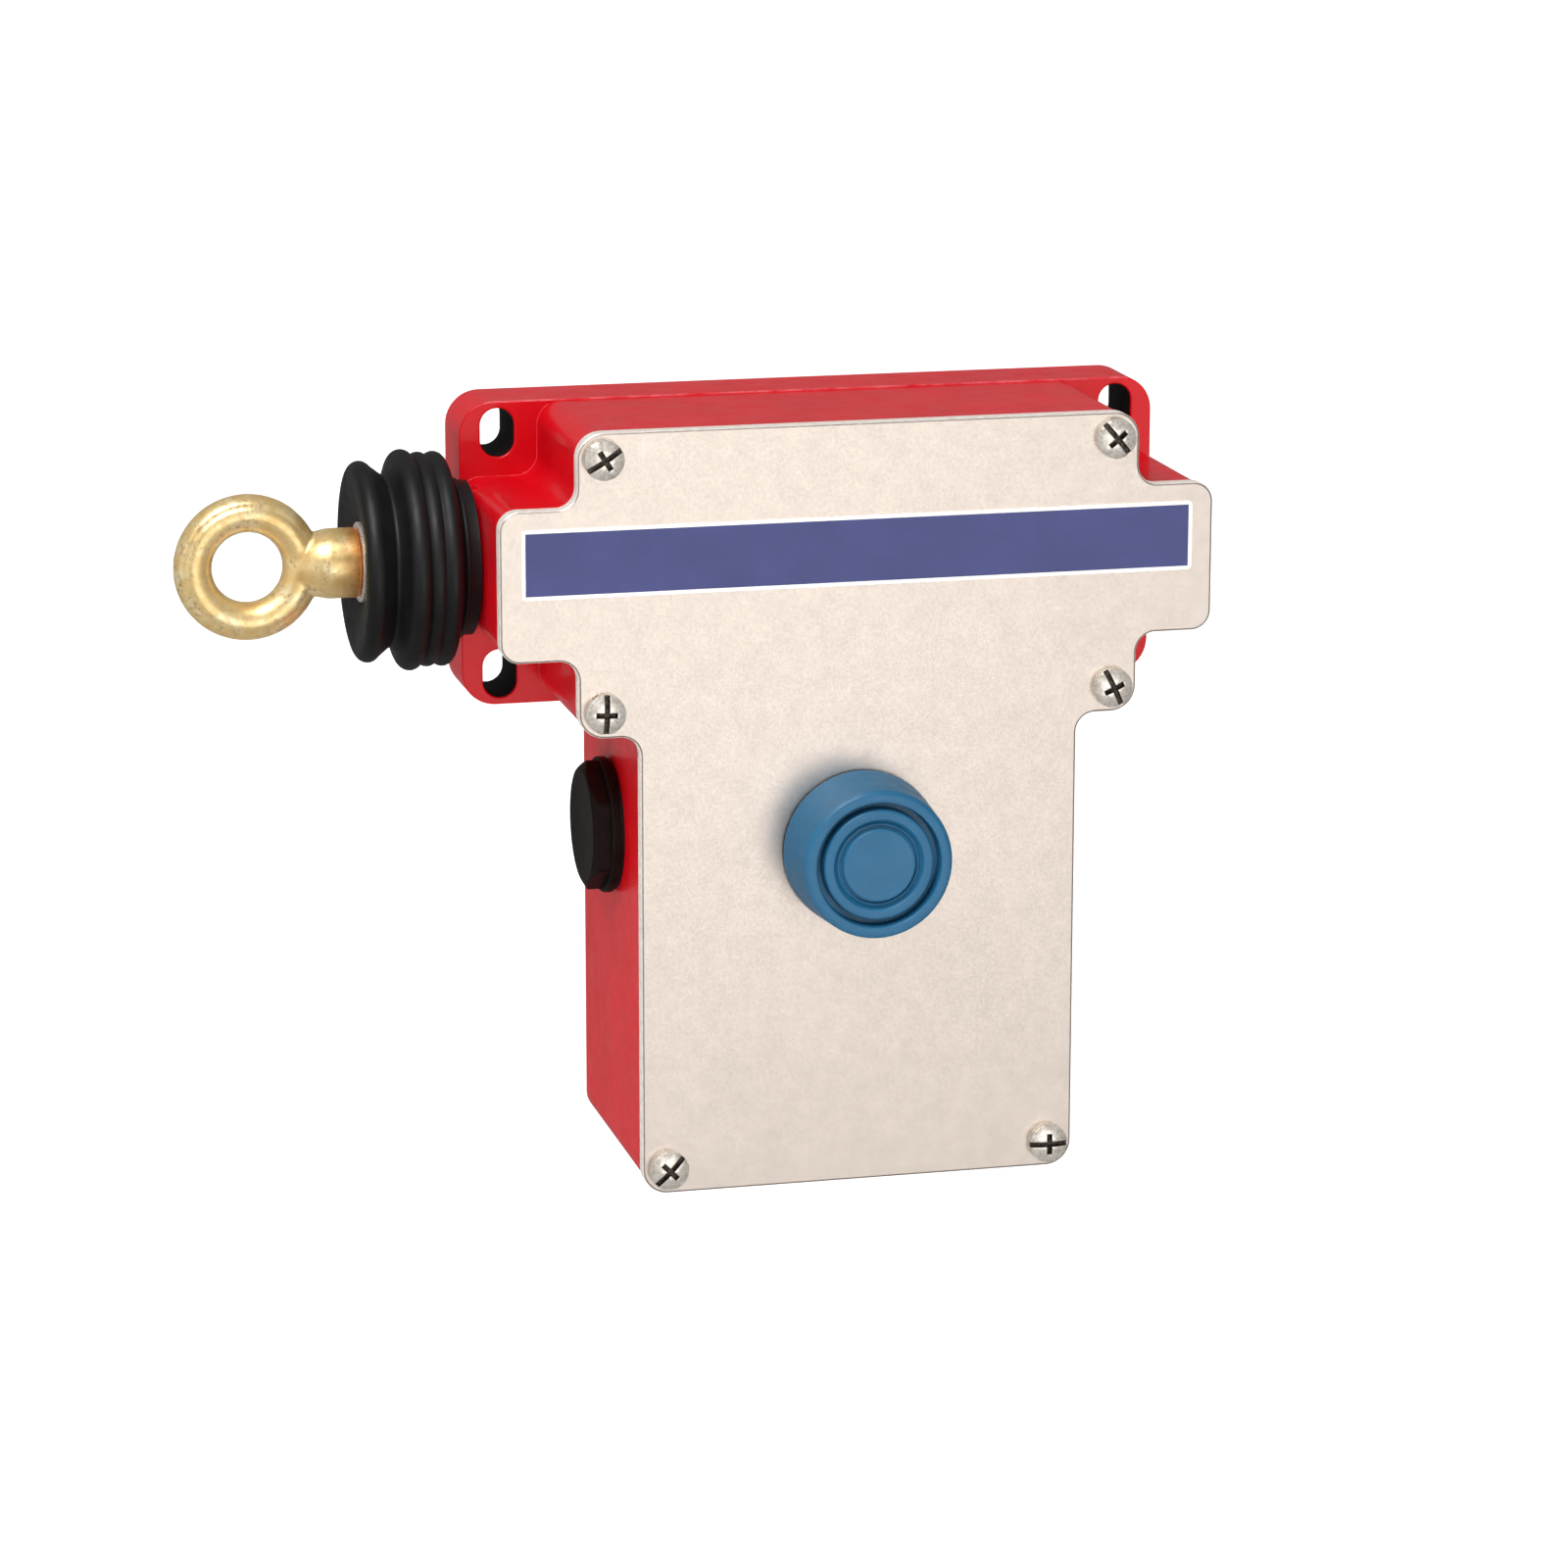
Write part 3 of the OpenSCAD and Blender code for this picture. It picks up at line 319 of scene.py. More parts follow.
def plain_metal(name, low, high, roughness, grain_mm=0.6):
    """Worked metal of one colour with fine marks from the mill or the plating bath."""
    finish, tree, shader = new_finish(name, Metallic=1.0, Roughness=roughness)
    tree.links.new(ramp(tree, noise(tree, 2, 4), [(0.3, low), (0.7, high)]), shader.inputs["Base Color"])
    bump(tree, shader, noise(tree, grain_mm, 3), 0.008, 0.35)
    return finish


def studio_paper(glow):
    """Matt white background paper, lit from behind as well as from the front."""
    return new_finish(
        "studio_paper", Roughness=0.9, Specular_IOR_Level=0.1, Base_Color=linear("#FAFAFA"),
        Emission_Color=linear("#FFFFFF"), Emission_Strength=glow)[0]


def make_finishes(colours):
    """One finish for each of the record's material slots, by the slot's name."""
    return {
        "red_enamel": gloss_enamel(colours.enamel),
        "stainless_plate": satin_stainless(colours.plate),
        "nickel_steel": nickel_plate(),
        "printed_label": printed_film("label_blue", shade(colours.label, 0.93), shade(colours.label, 1.07)),
        "black_rubber": moulded_rubber(
            "nitrile_rubber", shade(colours.bellows, 0.63), shade(colours.bellows, 1.4), 0.52, shine=0.4),
        "black_nylon": moulded_plastic("black_nylon", "#130D0B", "#1C1411", 0.5, 0.1),
        "blue_rubber": moulded_rubber(
            "silicone_rubber", shade(colours.boot, 0.92), shade(colours.boot, 1.08), 0.42, 0.6, shine=0.45),
        "yellow_zinc": yellow_passivate(),
        "bronze": plain_metal("sintered_bronze", "#9A6B35", "#B98B4A", 0.5, 0.3),
        "bright_steel": plain_metal("ground_steel", "#A9ABAD", "#C2C4C6", 0.28, 0.3),
        "spring_steel": plain_metal("drawn_spring_wire", "#7E8184", "#9DA0A3", 0.35, 0.4),
        "zinc_plated_sheet": plain_metal("zinc_plated_sheet", "#A8ABA9", "#C3C6C4", 0.38, 1.2),
        "contact_brass": plain_metal("rolled_brass", "#B9903F", "#D9B868", 0.3, 0.5),
        "white_acetal": moulded_plastic("white_acetal", "#DDD9CE", "#ECE8DE", 0.35),
        "red_acetal": moulded_plastic("red_acetal", "#B02A1C", "#C93A28", 0.35),
    }


finishes = {}


# ---- Meshes ----


def joined_copy(node):
    """A bmesh of a CAD node with its triangles joined and its flat faces whole."""
    bm = bmesh.new()
    bm.from_mesh(frame["nodes"][node].data)
    bmesh.ops.remove_doubles(bm, verts=bm.verts, dist=WELD)
    bmesh.ops.dissolve_limit(
        bm, angle_limit=math.radians(0.4), verts=bm.verts, edges=bm.edges, use_dissolve_boundaries=False)
    return bm


def round_edges(bm, width, segments, chosen, least=25):
    """Rounds the edges sharper than least degrees whose two ends chosen accepts, and gives the new faces."""
    sharp = math.radians(least)
    edges = [
        e for e in bm.edges
        if e.is_manifold and e.calc_face_angle(0) > sharp and all(chosen(v.co) for v in e.verts)
    ]
    rounded = bmesh.ops.bevel(
        bm, geom=edges, offset=width, offset_type="OFFSET", affect="EDGES", segments=segments,
        profile=0.5, clamp_overlap=True, material=-1)
    return set(rounded["faces"])


def spun(points, centre, axis, side, steps=96, closed=False):
    """A shape turned about an axis from points given as (distance along it, radius)."""
    bm = bmesh.new()
    verts = [bm.verts.new(centre + along * axis + radius * side) for along, radius in points]
    edges = [bm.edges.new(pair) for pair in zip(verts, verts[1:])]
    if closed:
        edges.append(bm.edges.new((verts[-1], verts[0])))
    bmesh.ops.spin(
        bm, geom=verts + edges, cent=centre, axis=axis, angle=2 * math.pi, steps=steps, use_merge=True)
    bmesh.ops.remove_doubles(bm, verts=bm.verts, dist=TOUCH)
    bmesh.ops.recalc_face_normals(bm, faces=bm.faces)
    return bm


def arc(along, radius, size, start, end, steps=6):
    """Points on an arc round (along, radius), from start to end degrees, where 90 points outwards."""
    turn = [math.radians(start + (end - start) * i / steps) for i in range(steps + 1)]
    return [(along + size * math.cos(a), radius + size * math.sin(a)) for a in turn]


def millimetres(points):
    """The same points in metres."""
    return [(a * MM, b * MM) for a, b in points]


def new_piece(name, bm, nodes, materials, body=None, smooth=30, weighted=True):
    """Turns a bmesh into a smooth-shaded piece with the given finishes that stands for CAD nodes and hides
    them.
    """
    mesh = bpy.data.meshes.new(name)
    bm.to_mesh(mesh)
    bm.free()
    for material in materials:
        mesh.materials.append(material)
    mesh.shade_smooth()
    mesh.set_sharp_from_angle(angle=math.radians(smooth))
    made = bpy.data.objects.new(name, mesh)
    bpy.context.scene.collection.objects.link(made)
    if weighted:
        made.modifiers.new("flat faces stay flat", "WEIGHTED_NORMAL").keep_sharp = True
    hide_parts(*nodes)
    if body:
        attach(made, body)
    return made


def new_stage_piece(name, bm, material):
    """Turns a bmesh into part of the studio."""
    mesh = bpy.data.meshes.new(name)
    bm.to_mesh(mesh)
    bm.free()
    mesh.materials.append(material)
    mesh.shade_smooth()
    made = bpy.data.objects.new(name, mesh)
    bpy.context.scene.collection.objects.link(made)
    return made


# ---- Settings ----


def length(name, description, millimetre):
    """A length setting."""
    return bpy.props.FloatProperty(
        name=name, description=description, default=millimetre * MM, min=0, unit="LENGTH",
        subtype="DISTANCE", precision=5)


def colour(name, description, code):
    """A colour setting."""
    return bpy.props.FloatVectorProperty(
        name=name, description=description, default=linear(code)[:3], size=3, min=0, max=1,
        subtype="COLOR")


class FinishColours(bpy.types.PropertyGroup):
    """Colours of the finishes."""

    enamel: colour("Enamel", "Colour of the housing's enamel", "#D20516")
    plate: colour("Plate", "Tint of the stainless cover plate", "#DFD2C7")
    label: colour("Label", "Colour of the label's ink", "#464A7A")
    boot: colour("Boot", "Colour of the reset button's boot", "#206186")
    bellows: colour("Bellows", "Colour of the black rubber", "#0B0B0B")


class EdgeSizes(bpy.types.PropertyGroup):
    """Radii on the edges of the hard pieces."""

    lug_round: length("Lug edge", "Width of the rounding on the lugs' edges", 0.35)
    slot_round: length("Slot edge", "Width of the rounding on the fixing slots' rims", 0.6)
    fillet: length("Fillet", "Width of the fillet between the lugs and the walls", 0.6)
    plate_round: length("Plate edge", "Width of the rounding on the cover plate's edge", 0.8)
    gasket_proud: length("Gasket squeeze", "How far the gasket stands out of its joint", 0.25)
    screw_round: length("Screw edge", "Width of the rounding on the screw heads' edges", 0.12)
    plug_round: length("Plug edge", "Width of the rounding on the blanking plugs' edges", 0.5)
    plug_edge: length("Plug hexagon edge", "Width of the rounding on the hexagon's edges", 0.25)
    plug_across: length("Plug hexagon", "Width of the blanking plugs' hexagons across their flats", 24)
    plug_face: length("Plug face", "Radius of the round face left by the hexagon's chamfer", 11.7)
    label_border: length("Label border", "Width of the label's white border", 0.75)


class EyeSizes(bpy.types.PropertyGroup):
    """Sizes of the pull eye."""

    ring_radius: length("Ring radius", "Radius of the eye at the middle of its ring", 11)
    wire_radius: length("Wire radius", "Radius of the eye's ring in section", 3.85)
    neck_length: length("Neck length", "Distance from the eye's middle to the end of its neck", 22.4)
    neck_radius: length("Neck radius", "Radius of the eye's neck", 7.1)
    blend_voxel: length("Blend grain", "Grain of the mesh that blends the ring into the neck", 0.26)


class StageSizes(bpy.types.PropertyGroup):
    """Places and strengths in the studio."""

    lens: bpy.props.FloatProperty(
        name="Lens", description="Focal length of the camera in millimetres", default=124.96, min=1)
    floor_drop: length("Floor drop", "Distance from the object's foot to the floor", 450)
    key_power: bpy.props.FloatProperty(
        name="Key light", description="Power of the large light above the left in watts", default=27, min=0)
    card_power: bpy.props.FloatProperty(
        name="Card light", description="Power of the broad light in front in watts", default=6.5, min=0)
    side_power: bpy.props.FloatProperty(
        name="Side light", description="Power of the broad light on the left in watts", default=1.6, min=0)
    floor_glow: bpy.props.FloatProperty(
        name="Floor glow", description="Light given off by the paper from behind", default=0.6, min=0)
    sky: bpy.props.FloatProperty(
        name="Sky", description="Strength of the pale surroundings", default=0.22, min=0)


# ---- Pieces ----


class SWITCH_OT_finishes(bpy.types.Operator):
    """Make the finishes and give every CAD node the one of its slot"""

    bl_idname = "switch.finishes"
    bl_label = "Finishes"

    def execute(self, context):
        colours = context.scene.switch_colours
        finishes.update(make_finishes(colours))
        finishes["parting"] = parting_highlight_enamel(colours.enamel)
        finishes["recess"] = recess_painted_shade()
        finishes["edge"] = tumbled_edge_highlight()
        # Near-black finish for the deep walls of the fixing slots: painted shade inside the slots.
        finishes["slot_wall"] = moulded_plastic("slot_wall_painted_shade", "#0C0403", "#160706", 0.7, 0.15)
        finishes["label_white"] = printed_film("label_white", "#F4F1EC", "#FBF9F5")
        for node, obj in frame["nodes"].items():
            obj.data.materials.clear()
            obj.data.materials.append(finishes[SLOT_OF[node]])
        return {"FINISHED"}


class SWITCH_OT_housing(bpy.types.Operator):
    """Build the die-cast housing with rounded lugs, slots and fillets"""

    bl_idname = "switch.housing"
    bl_label = "Housing"

    def execute(self, context):
        sizes = context.scene.switch_edges
        bm = joined_copy("housing")
        parting_drop, parting_step = 0.45 * MM, 0.3 * MM
        step_inset = 0.6 * MM

        def on_lug_face(co):
            return abs(co.y - LUG_Y) < NEAR

        def on_wall(co):
            return abs(co.y) < NEAR

        def in_slot(co):
            across = abs(abs(co.x) - SLOT_AT.x) < SLOT_HALF_WIDTH
            return across and abs(abs(co.z) - SLOT_AT.z) < SLOT_HALF_HEIGHT

        def on_outline(co):
            corner = abs(co.x) > LUG_SIDE - LUG_CORNER and abs(co.z) > LUG_TOP - LUG_CORNER
            return corner or abs(co.x) > LUG_SIDE - NEAR or abs(co.z) > LUG_TOP - NEAR

        def on_step(co):
            beside = LEG_X - NEAR < abs(co.x) < LUG_SIDE - step_inset
            return beside and abs(co.z) < LUG_TOP - step_inset and not on_outline(co)

        for on_face in (on_lug_face, on_wall):
            round_edges(bm, sizes.slot_round, 3, lambda co: on_face(co) and in_slot(co))
        for on_face in (on_lug_face, on_wall):
            round_edges(
                bm, sizes.lug_round, 3, lambda co: on_face(co) and on_outline(co) and not in_slot(co))
        fillets = round_edges(
            bm, sizes.fillet, 3, lambda co: on_lug_face(co) and on_step(co) and not in_slot(co))
        for face in bm.faces:
            at = face.calc_center_median()
            deep = LUG_Y + sizes.slot_round < at.y < -sizes.slot_round
            # Faces on the parting strip take the enamel with painted highlight, as the fillets do.
            parting = at.z > LUG_TOP - parting_drop and LUG_Y - NEAR < at.y < LUG_Y + parting_step
            # Deep slot walls take the near-black finish of painted shade.
            if deep and in_slot(at) and abs(face.normal.y) < 0.1:
                face.material_index = 1
            else:
                face.material_index = 2 if parting or face in fillets else 0
        new_piece(
            "housing_casting", bm, ["housing"],
            [finishes["red_enamel"], finishes["slot_wall"], finishes["parting"]], "housing_body")
        return {"FINISHED"}


class SWITCH_OT_cover(bpy.types.Operator):
    """Build the cover plate with its rolled edge"""

    bl_idname = "switch.cover"
    bl_label = "Cover plate"

    def execute(self, context):
        sizes = context.scene.switch_edges
        bm = joined_copy("cover_plate")
        places = screw_places()
        screw_hole, button_hole = 3 * MM, 12 * MM

        def on_front(co):
            return abs(co.y - COVER_Y) < NEAR

        def in_hole(co):
            at = Vector((co.x, 0, co.z))
            in_screw = any((at - place).length < screw_hole for place in places)
            return in_screw or (at - Vector((RESET.x, 0, RESET.z))).length < button_hole

        round_edges(bm, sizes.plate_round, 4, lambda co: on_front(co) and not in_hole(co))
        # Edge faces take the matt edge finish, whose pale tone paints the bright rim.
        for face in bm.faces:
            sheared = abs(face.normal.y) < 0.6 and not in_hole(face.verts[0].co)
            face.material_index = 1 if sheared else 0
        new_piece(
            "cover_sheet", bm, ["cover_plate"], [finishes["stainless_plate"], finishes["edge"]],
            "housing_body")
        return {"FINISHED"}


class SWITCH_OT_gasket(bpy.types.Operator):
    """Build the cover gasket, squeezed a little proud of the joint"""

    bl_idname = "switch.gasket"
    bl_label = "Cover gasket"

    def execute(self, context):
        proud = context.scene.switch_edges.gasket_proud
        bm = joined_copy("cover_gasket")
        for vert in bm.verts:
            way = Vector((vert.normal.x, 0, vert.normal.z)).normalized()
            bmesh.ops.translate(bm, vec=proud * way, verts=[vert])
            vert.co.x = max(-LUG_SIDE, min(LUG_SIDE, vert.co.x))
        new_piece("gasket_sheet", bm, ["cover_gasket"], [finishes["black_rubber"]], "housing_body")
        return {"FINISHED"}


def screw_places():
    """Axes of the cover screws in the XZ plane, from the loose parts of their node."""
    bm = joined_copy("cover_screws")
    left = set(bm.verts)
    places = []
    while left:
        group, queue = set(), [left.pop()]
        while queue:
            vert = queue.pop()
            group.add(vert)
            near = {e.other_vert(vert) for e in vert.link_edges} & left
            left -= near
            queue += near
        xs, zs = [v.co.x for v in group], [v.co.z for v in group]
        places.append(Vector(((min(xs) + max(xs)) / 2, 0, (min(zs) + max(zs)) / 2)))
    bm.free()
    return places


class SWITCH_OT_screws(bpy.types.Operator):
    """Build the cover screws with softened heads and painted shade in their recesses"""

    bl_idname = "switch.screws"
    bl_label = "Cover screws"

    def execute(self, context):
        sizes = context.scene.switch_edges
        bm = joined_copy("cover_screws")
        places = screw_places()
        head_foot, recess_depth, recess_reach = 0.3 * MM, 1.1 * MM, 2.6 * MM

        def on_head(co):
            return co.y < COVER_Y - head_foot

        round_edges(bm, sizes.screw_round, 2, on_head, least=35)
        floor_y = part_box("cover_screws")[0].y + recess_depth
        for face in bm.faces:
            at = face.calc_center_median()
            radius = min((Vector((at.x, 0, at.z)) - place).length for place in places)
            sunk = abs(face.normal.y) < 0.2 or at.y > floor_y
            # Faces in the head's recess take the finish of painted shade.
            face.material_index = 1 if on_head(at) and radius < recess_reach and sunk else 0
        new_piece(
            "cover_pan_screws", bm, ["cover_screws"], [finishes["nickel_steel"], finishes["recess"]],
            "housing_body")
        return {"FINISHED"}


class SWITCH_OT_label(bpy.types.Operator):
    """Build the blank label strip with its white border"""

    bl_idname = "switch.label"
    bl_label = "Label strip"

    def execute(self, context):
        sizes = context.scene.switch_edges
        low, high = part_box("label_strip")
        corner = 0.8 * MM
        bm = bmesh.new()
        bmesh.ops.create_cube(bm, size=1)
        bmesh.ops.scale(bm, vec=high - low, verts=bm.verts)
        bmesh.ops.translate(bm, vec=(high + low) / 2, verts=bm.verts)
        upright = [e for e in bm.edges if abs((e.verts[0].co - e.verts[1].co).normalized().y) > 0.9]
        bmesh.ops.bevel(
            bm, geom=upright, offset=corner, offset_type="OFFSET", affect="EDGES", segments=4,
            profile=0.5, material=-1)
        front = [f for f in bm.faces if f.normal.y < -0.9]
        bmesh.ops.inset_region(bm, faces=front, thickness=sizes.label_border, use_even_offset=True)
        for face in bm.faces:
            face.material_index = 0 if face in front else 1
        new_piece(
            "label_film", bm, ["label_strip"], [finishes["printed_label"], finishes["label_white"]],
            "housing_body")
        return {"FINISHED"}


class SWITCH_OT_plugs(bpy.types.Operator):
    """Build the blanking plugs with softened flanges and hexagons"""

    bl_idname = "switch.plugs"
    bl_label = "Blanking plugs"

    def execute(self, context):
        sizes = context.scene.switch_edges
        for side, out in (("left", -X), ("right", X)):
            node = f"blanking_plug_{side}"
            seal_low, seal_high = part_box(f"plug_seal_{side}")
            low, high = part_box(node)
            middle_y, middle_z = (low.y + high.y) / 2, (low.z + high.z) / 2
            seat = max(abs(seal_low.x), abs(seal_high.x))
            centre = Vector((out.x * seat, middle_y, middle_z))
            flange, thick, back_edge = (high.z - low.z) / 2, 1.8 * MM, 0.1 * MM
            soft = sizes.plug_round
            outline = [(0, 0), (0, flange - back_edge), (back_edge, flange)]
            outline += arc(thick - soft, flange - soft, soft, 90, 0, 4) + [(thick, 0)]
            disc = spun(outline, centre, out, Z, 96)
            new_piece(f"plug_{side}", disc, [node], [finishes["black_nylon"]], "housing_body")
            tall = max(abs(low.x), abs(high.x)) - seat
            head = chamfered_hexagon(centre, out, thick * 0.5, tall, sizes.plug_across, sizes.plug_face)
            round_edges(head, sizes.plug_edge, 2, lambda co: True, least=18)
            new_piece(f"plug_head_{side}", head, [node], [finishes["black_nylon"]], "housing_body")
        return {"FINISHED"}


def chamfered_hexagon(centre, axis, bottom, top, across, face):
    """A hexagonal head whose end is chamfered to a round face, with flats towards +Y and -Y."""
    blank = across * 0.565  # a little less than the hexagon's corners, so that they come out trimmed
    fall = (blank - face) * math.tan(math.radians(30))
    dish, dish_share = 0.35 * MM, 0.6
    outline = [(bottom, 0), (bottom, blank), (top - fall, blank), (top, face)]
    outline += [(top - dish, face * dish_share)]
    bm = spun(outline + [(top - dish, 0)], centre, axis, Z, 96)
    for i in range(6):
        turn = math.radians(60 * i)
        way = math.cos(turn) * Y + math.sin(turn) * Z
        cut = bmesh.ops.bisect_plane(
            bm, geom=bm.verts[:] + bm.edges[:] + bm.faces[:], dist=TOUCH,
            plane_co=centre + across / 2 * way, plane_no=way, clear_outer=True)
        rim = [e for e in cut["geom_cut"] if isinstance(e, bmesh.types.BMEdge)]
        bmesh.ops.holes_fill(bm, edges=rim, sides=0)
    bmesh.ops.recalc_face_normals(bm, faces=bm.faces)
    return bm


class SWITCH_OT_bellows(bpy.types.Operator):
    """Build the rubber bellows between the housing and the pull eye"""

    bl_idname = "switch.bellows"
    bl_label = "Bellows"

    def execute(self, context):
        span = (WALL_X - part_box("bellows")[0].x) / MM
        collar = 15.7
        outline = [(0.05, 5.5), (0.05, collar), (2.0, collar), (2.3, collar + 0.5), (2.9, collar + 0.5)]
        outline += [(3.2, collar + 0.1), (3.9, collar + 1.6), (4.3, collar + 2.2)]
        outline += arc(6.4, 19.85, 1.9, 168, 40)
        outline += arc(9.5, 19.8, 1.9, 140, 40)
        outline += arc(13.0, 20.15, 2.2, 140, 18, 8)
        outline += [(15.6, 18.9)] + arc(17.1, 18.2, 0.7, 215, 325, 4)
        outline += arc(span - 2.1, 18.25, 2.1, 145, 10, 10)
        outline += [(span, 17.2), (span - 0.25, 15.5), (span - 0.9, 12.0), (span - 1.5, 9.2)]
        outline += [(span - 1.9, 8.25), (span - 2.1, 8.2), (span - 2.1, 5.5)]
        bm = spun(millimetres(outline), SHAFT, -X, Z, 128, closed=True)
        made = new_piece("bellows_rubber", bm, ["bellows"], [finishes["black_rubber"]], smooth=60)
        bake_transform(made)
        return {"FINISHED"}


class SWITCH_OT_eye(bpy.types.Operator):
    """Build the forged pull eye, its ring blended into its neck"""

    bl_idname = "switch.eye"
    bl_label = "Pull eye"

    def execute(self, context):
        sizes = context.scene.switch_eye
        ring, wire = sizes.ring_radius, sizes.wire_radius
        neck, reach = sizes.neck_radius, sizes.neck_length
        dip, dip_at, dip_reach = 0.3 * MM, 62, 10
        circle = []
        for turn in range(0, 360, 5):
            section = wire - dip * max(0, 1 - abs(abs(turn - 180) - dip_at) / dip_reach)
            circle += arc(0, ring, section, turn - 90, turn - 90, 1)[:1]
        bm = spun(circle, EYE, Y, X, 128, closed=True)
        outline = [(ring - 1.5 * MM, 0), (ring - 1.5 * MM, wire), (ring + 1.2 * MM, wire + 1.9 * MM)]
        outline += [(ring + 2.9 * MM, neck - 0.45 * MM), (ring + 5.0 * MM, neck), (reach - 0.7 * MM, neck)]
        outline += [(reach - 0.2 * MM, neck - 0.25 * MM), (reach, neck - 0.7 * MM), (reach, 0)]
        shank = spun(outline, EYE, X, Z, 96)
        shank_mesh = bpy.data.meshes.new("shank")
        shank.to_mesh(shank_mesh)
        shank.free()
        bm.from_mesh(shank_mesh)
        bpy.data.meshes.remove(shank_mesh)
        bm = remeshed(bm, sizes.blend_voxel)
        root_start, root_end = 9.5 * MM, 17.5 * MM

        def at_root(co):
            return root_start < (co - EYE).x < root_end

        for verts, times in (([v for v in bm.verts if at_root(v.co)], 14), (bm.verts, 2)):
            for _ in range(times):
                bmesh.ops.smooth_vert(
                    bm, verts=verts, factor=0.5, use_axis_x=True, use_axis_y=True, use_axis_z=True)
        new_piece(
            "pull_eye", bm, ["rope_eye"], [finishes["yellow_zinc"]], "puller", smooth=50, weighted=False)
        return {"FINISHED"}


class SWITCH_OT_washer(bpy.types.Operator):
    """Build the bright washer between the eye's neck and the bellows"""

    bl_idname = "switch.washer"
    bl_label = "Neck washer"

    def execute(self, context):
        left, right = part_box("neck_washer")
        low, high = SHAFT.x - right.x, SHAFT.x - left.x
        inner, outer, round_off = 5.2 * MM, 8.1 * MM, 0.15 * MM
        outline = [(low, inner), (low, outer - round_off), (low + round_off, outer)]
        outline += [(high - round_off, outer), (high, outer - round_off), (high, inner)]
        bm = spun(outline, SHAFT, -X, Z, 96, closed=True)
        new_piece("neck_ring", bm, ["neck_washer"], [finishes["nickel_steel"]], "puller")
        return {"FINISHED"}


def remeshed(bm, voxel):
    """The outer skin of a bmesh as one even mesh."""
    mesh = bpy.data.meshes.new("skin")
    bm.to_mesh(mesh)
    bm.free()
    holder = bpy.data.objects.new("skin", mesh)
    bpy.context.scene.collection.objects.link(holder)
    modifier = holder.modifiers.new("skin", "REMESH")
    modifier.mode = "VOXEL"
    modifier.voxel_size = voxel
    solid = holder.evaluated_get(bpy.context.evaluated_depsgraph_get()).to_mesh()
    out = bmesh.new()
    out.from_mesh(solid)
    bpy.data.objects.remove(holder)
    bpy.data.meshes.remove(mesh)
    return out


class SWITCH_OT_boot(bpy.types.Operator):
    """Build the reset button's rubber boot: its skirt, its rolling web and its face"""

    bl_idname = "switch.boot"
    bl_label = "Reset boot"

    def execute(self, context):
        high = (RESET.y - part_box("reset_boot")[0].y) / MM
        rubber = [finishes["blue_rubber"]]
        skirt = [(0.5, 11.4), (0.5, 15.9)] + arc(1.0, 15.8, 0.4, 180, 90, 3) + [(2.4, 16.15)]
        skirt += arc(high - 1.2, 14.1, 1.15, 86, 4, 6) + [(high, 13.4)]
        skirt += arc(high - 0.35, 13.15, 0.35, 30, -80, 4) + arc(high - 2.7, 12.4, 0.3, 90, 180, 3)
        skirt += [(high - 3.0, 11.45), (high - 4.2, 11.45), (high - 4.2, 14.2), (2.6, 14.4)]
        made = spun(millimetres(skirt), RESET, -Y, X, 128, closed=True)
        new_piece("boot_skirt", made, ["reset_boot"], rubber, "housing_body", smooth=50)
        web = [(high - 4.0, 11.44), (high - 2.9, 11.44), (high - 0.75, 11.25)]
        web += arc(high - 0.8, 10.7, 0.55, 90, 0, 5) + [(high - 0.25, 10.2), (high - 4.0, 10.2)]
        made = new_piece(
            "boot_web", spun(millimetres(web), RESET, -Y, X, 128, closed=True), ["reset_boot"], rubber,
            smooth=50)
        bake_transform(made)
        face = [(high - 1.7, 0), (high - 1.7, 9.6), (high - 3.8, 9.7), (high - 3.8, 10.19)]
        face += [(high - 0.25, 10.19)]
        face += arc(high - 0.7, 9.55, 0.45, 0, -70, 4) + [(high - 1.1, 9.0), (high - 1.3, 8.7)]
        face += arc(high - 1.15, 8.2, 0.25, 60, -60, 4) + [(high - 1.35, 7.85), (high - 1.3, 7.55)]
        face += arc(high - 0.4, 7.05, 0.4, 80, 0, 4) + [(high, 0)]
        made = spun(millimetres(face), RESET, -Y, X, 128)
        new_piece("boot_face", made, ["reset_boot"], rubber, "reset", smooth=50)
        return {"FINISHED"}


class SWITCH_OT_springs(bpy.types.Operator):
    """Build the springs as smooth-shaded copies of their CAD coils"""

    bl_idname = "switch.springs"
    bl_label = "Springs"

    def execute(self, context):
        for node, body, axis in (
            ("main_spring", "puller", X), ("reset_spring", "reset", -Y), ("latch_spring", "latch", -Y),
            ("plunger_spring_left", "left_contact", Z), ("plunger_spring_right", "right_contact", Z),
        ):
            bm = bmesh.new()
            bm.from_mesh(frame["nodes"][node].data)
            bmesh.ops.remove_doubles(bm, verts=bm.verts, dist=WELD)
            made = new_piece(
                f"{node}_coil", bm, [node], [finishes["spring_steel"]], smooth=60, weighted=False)
            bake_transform(made)
        return {"FINISHED"}


# ---- Studio ----


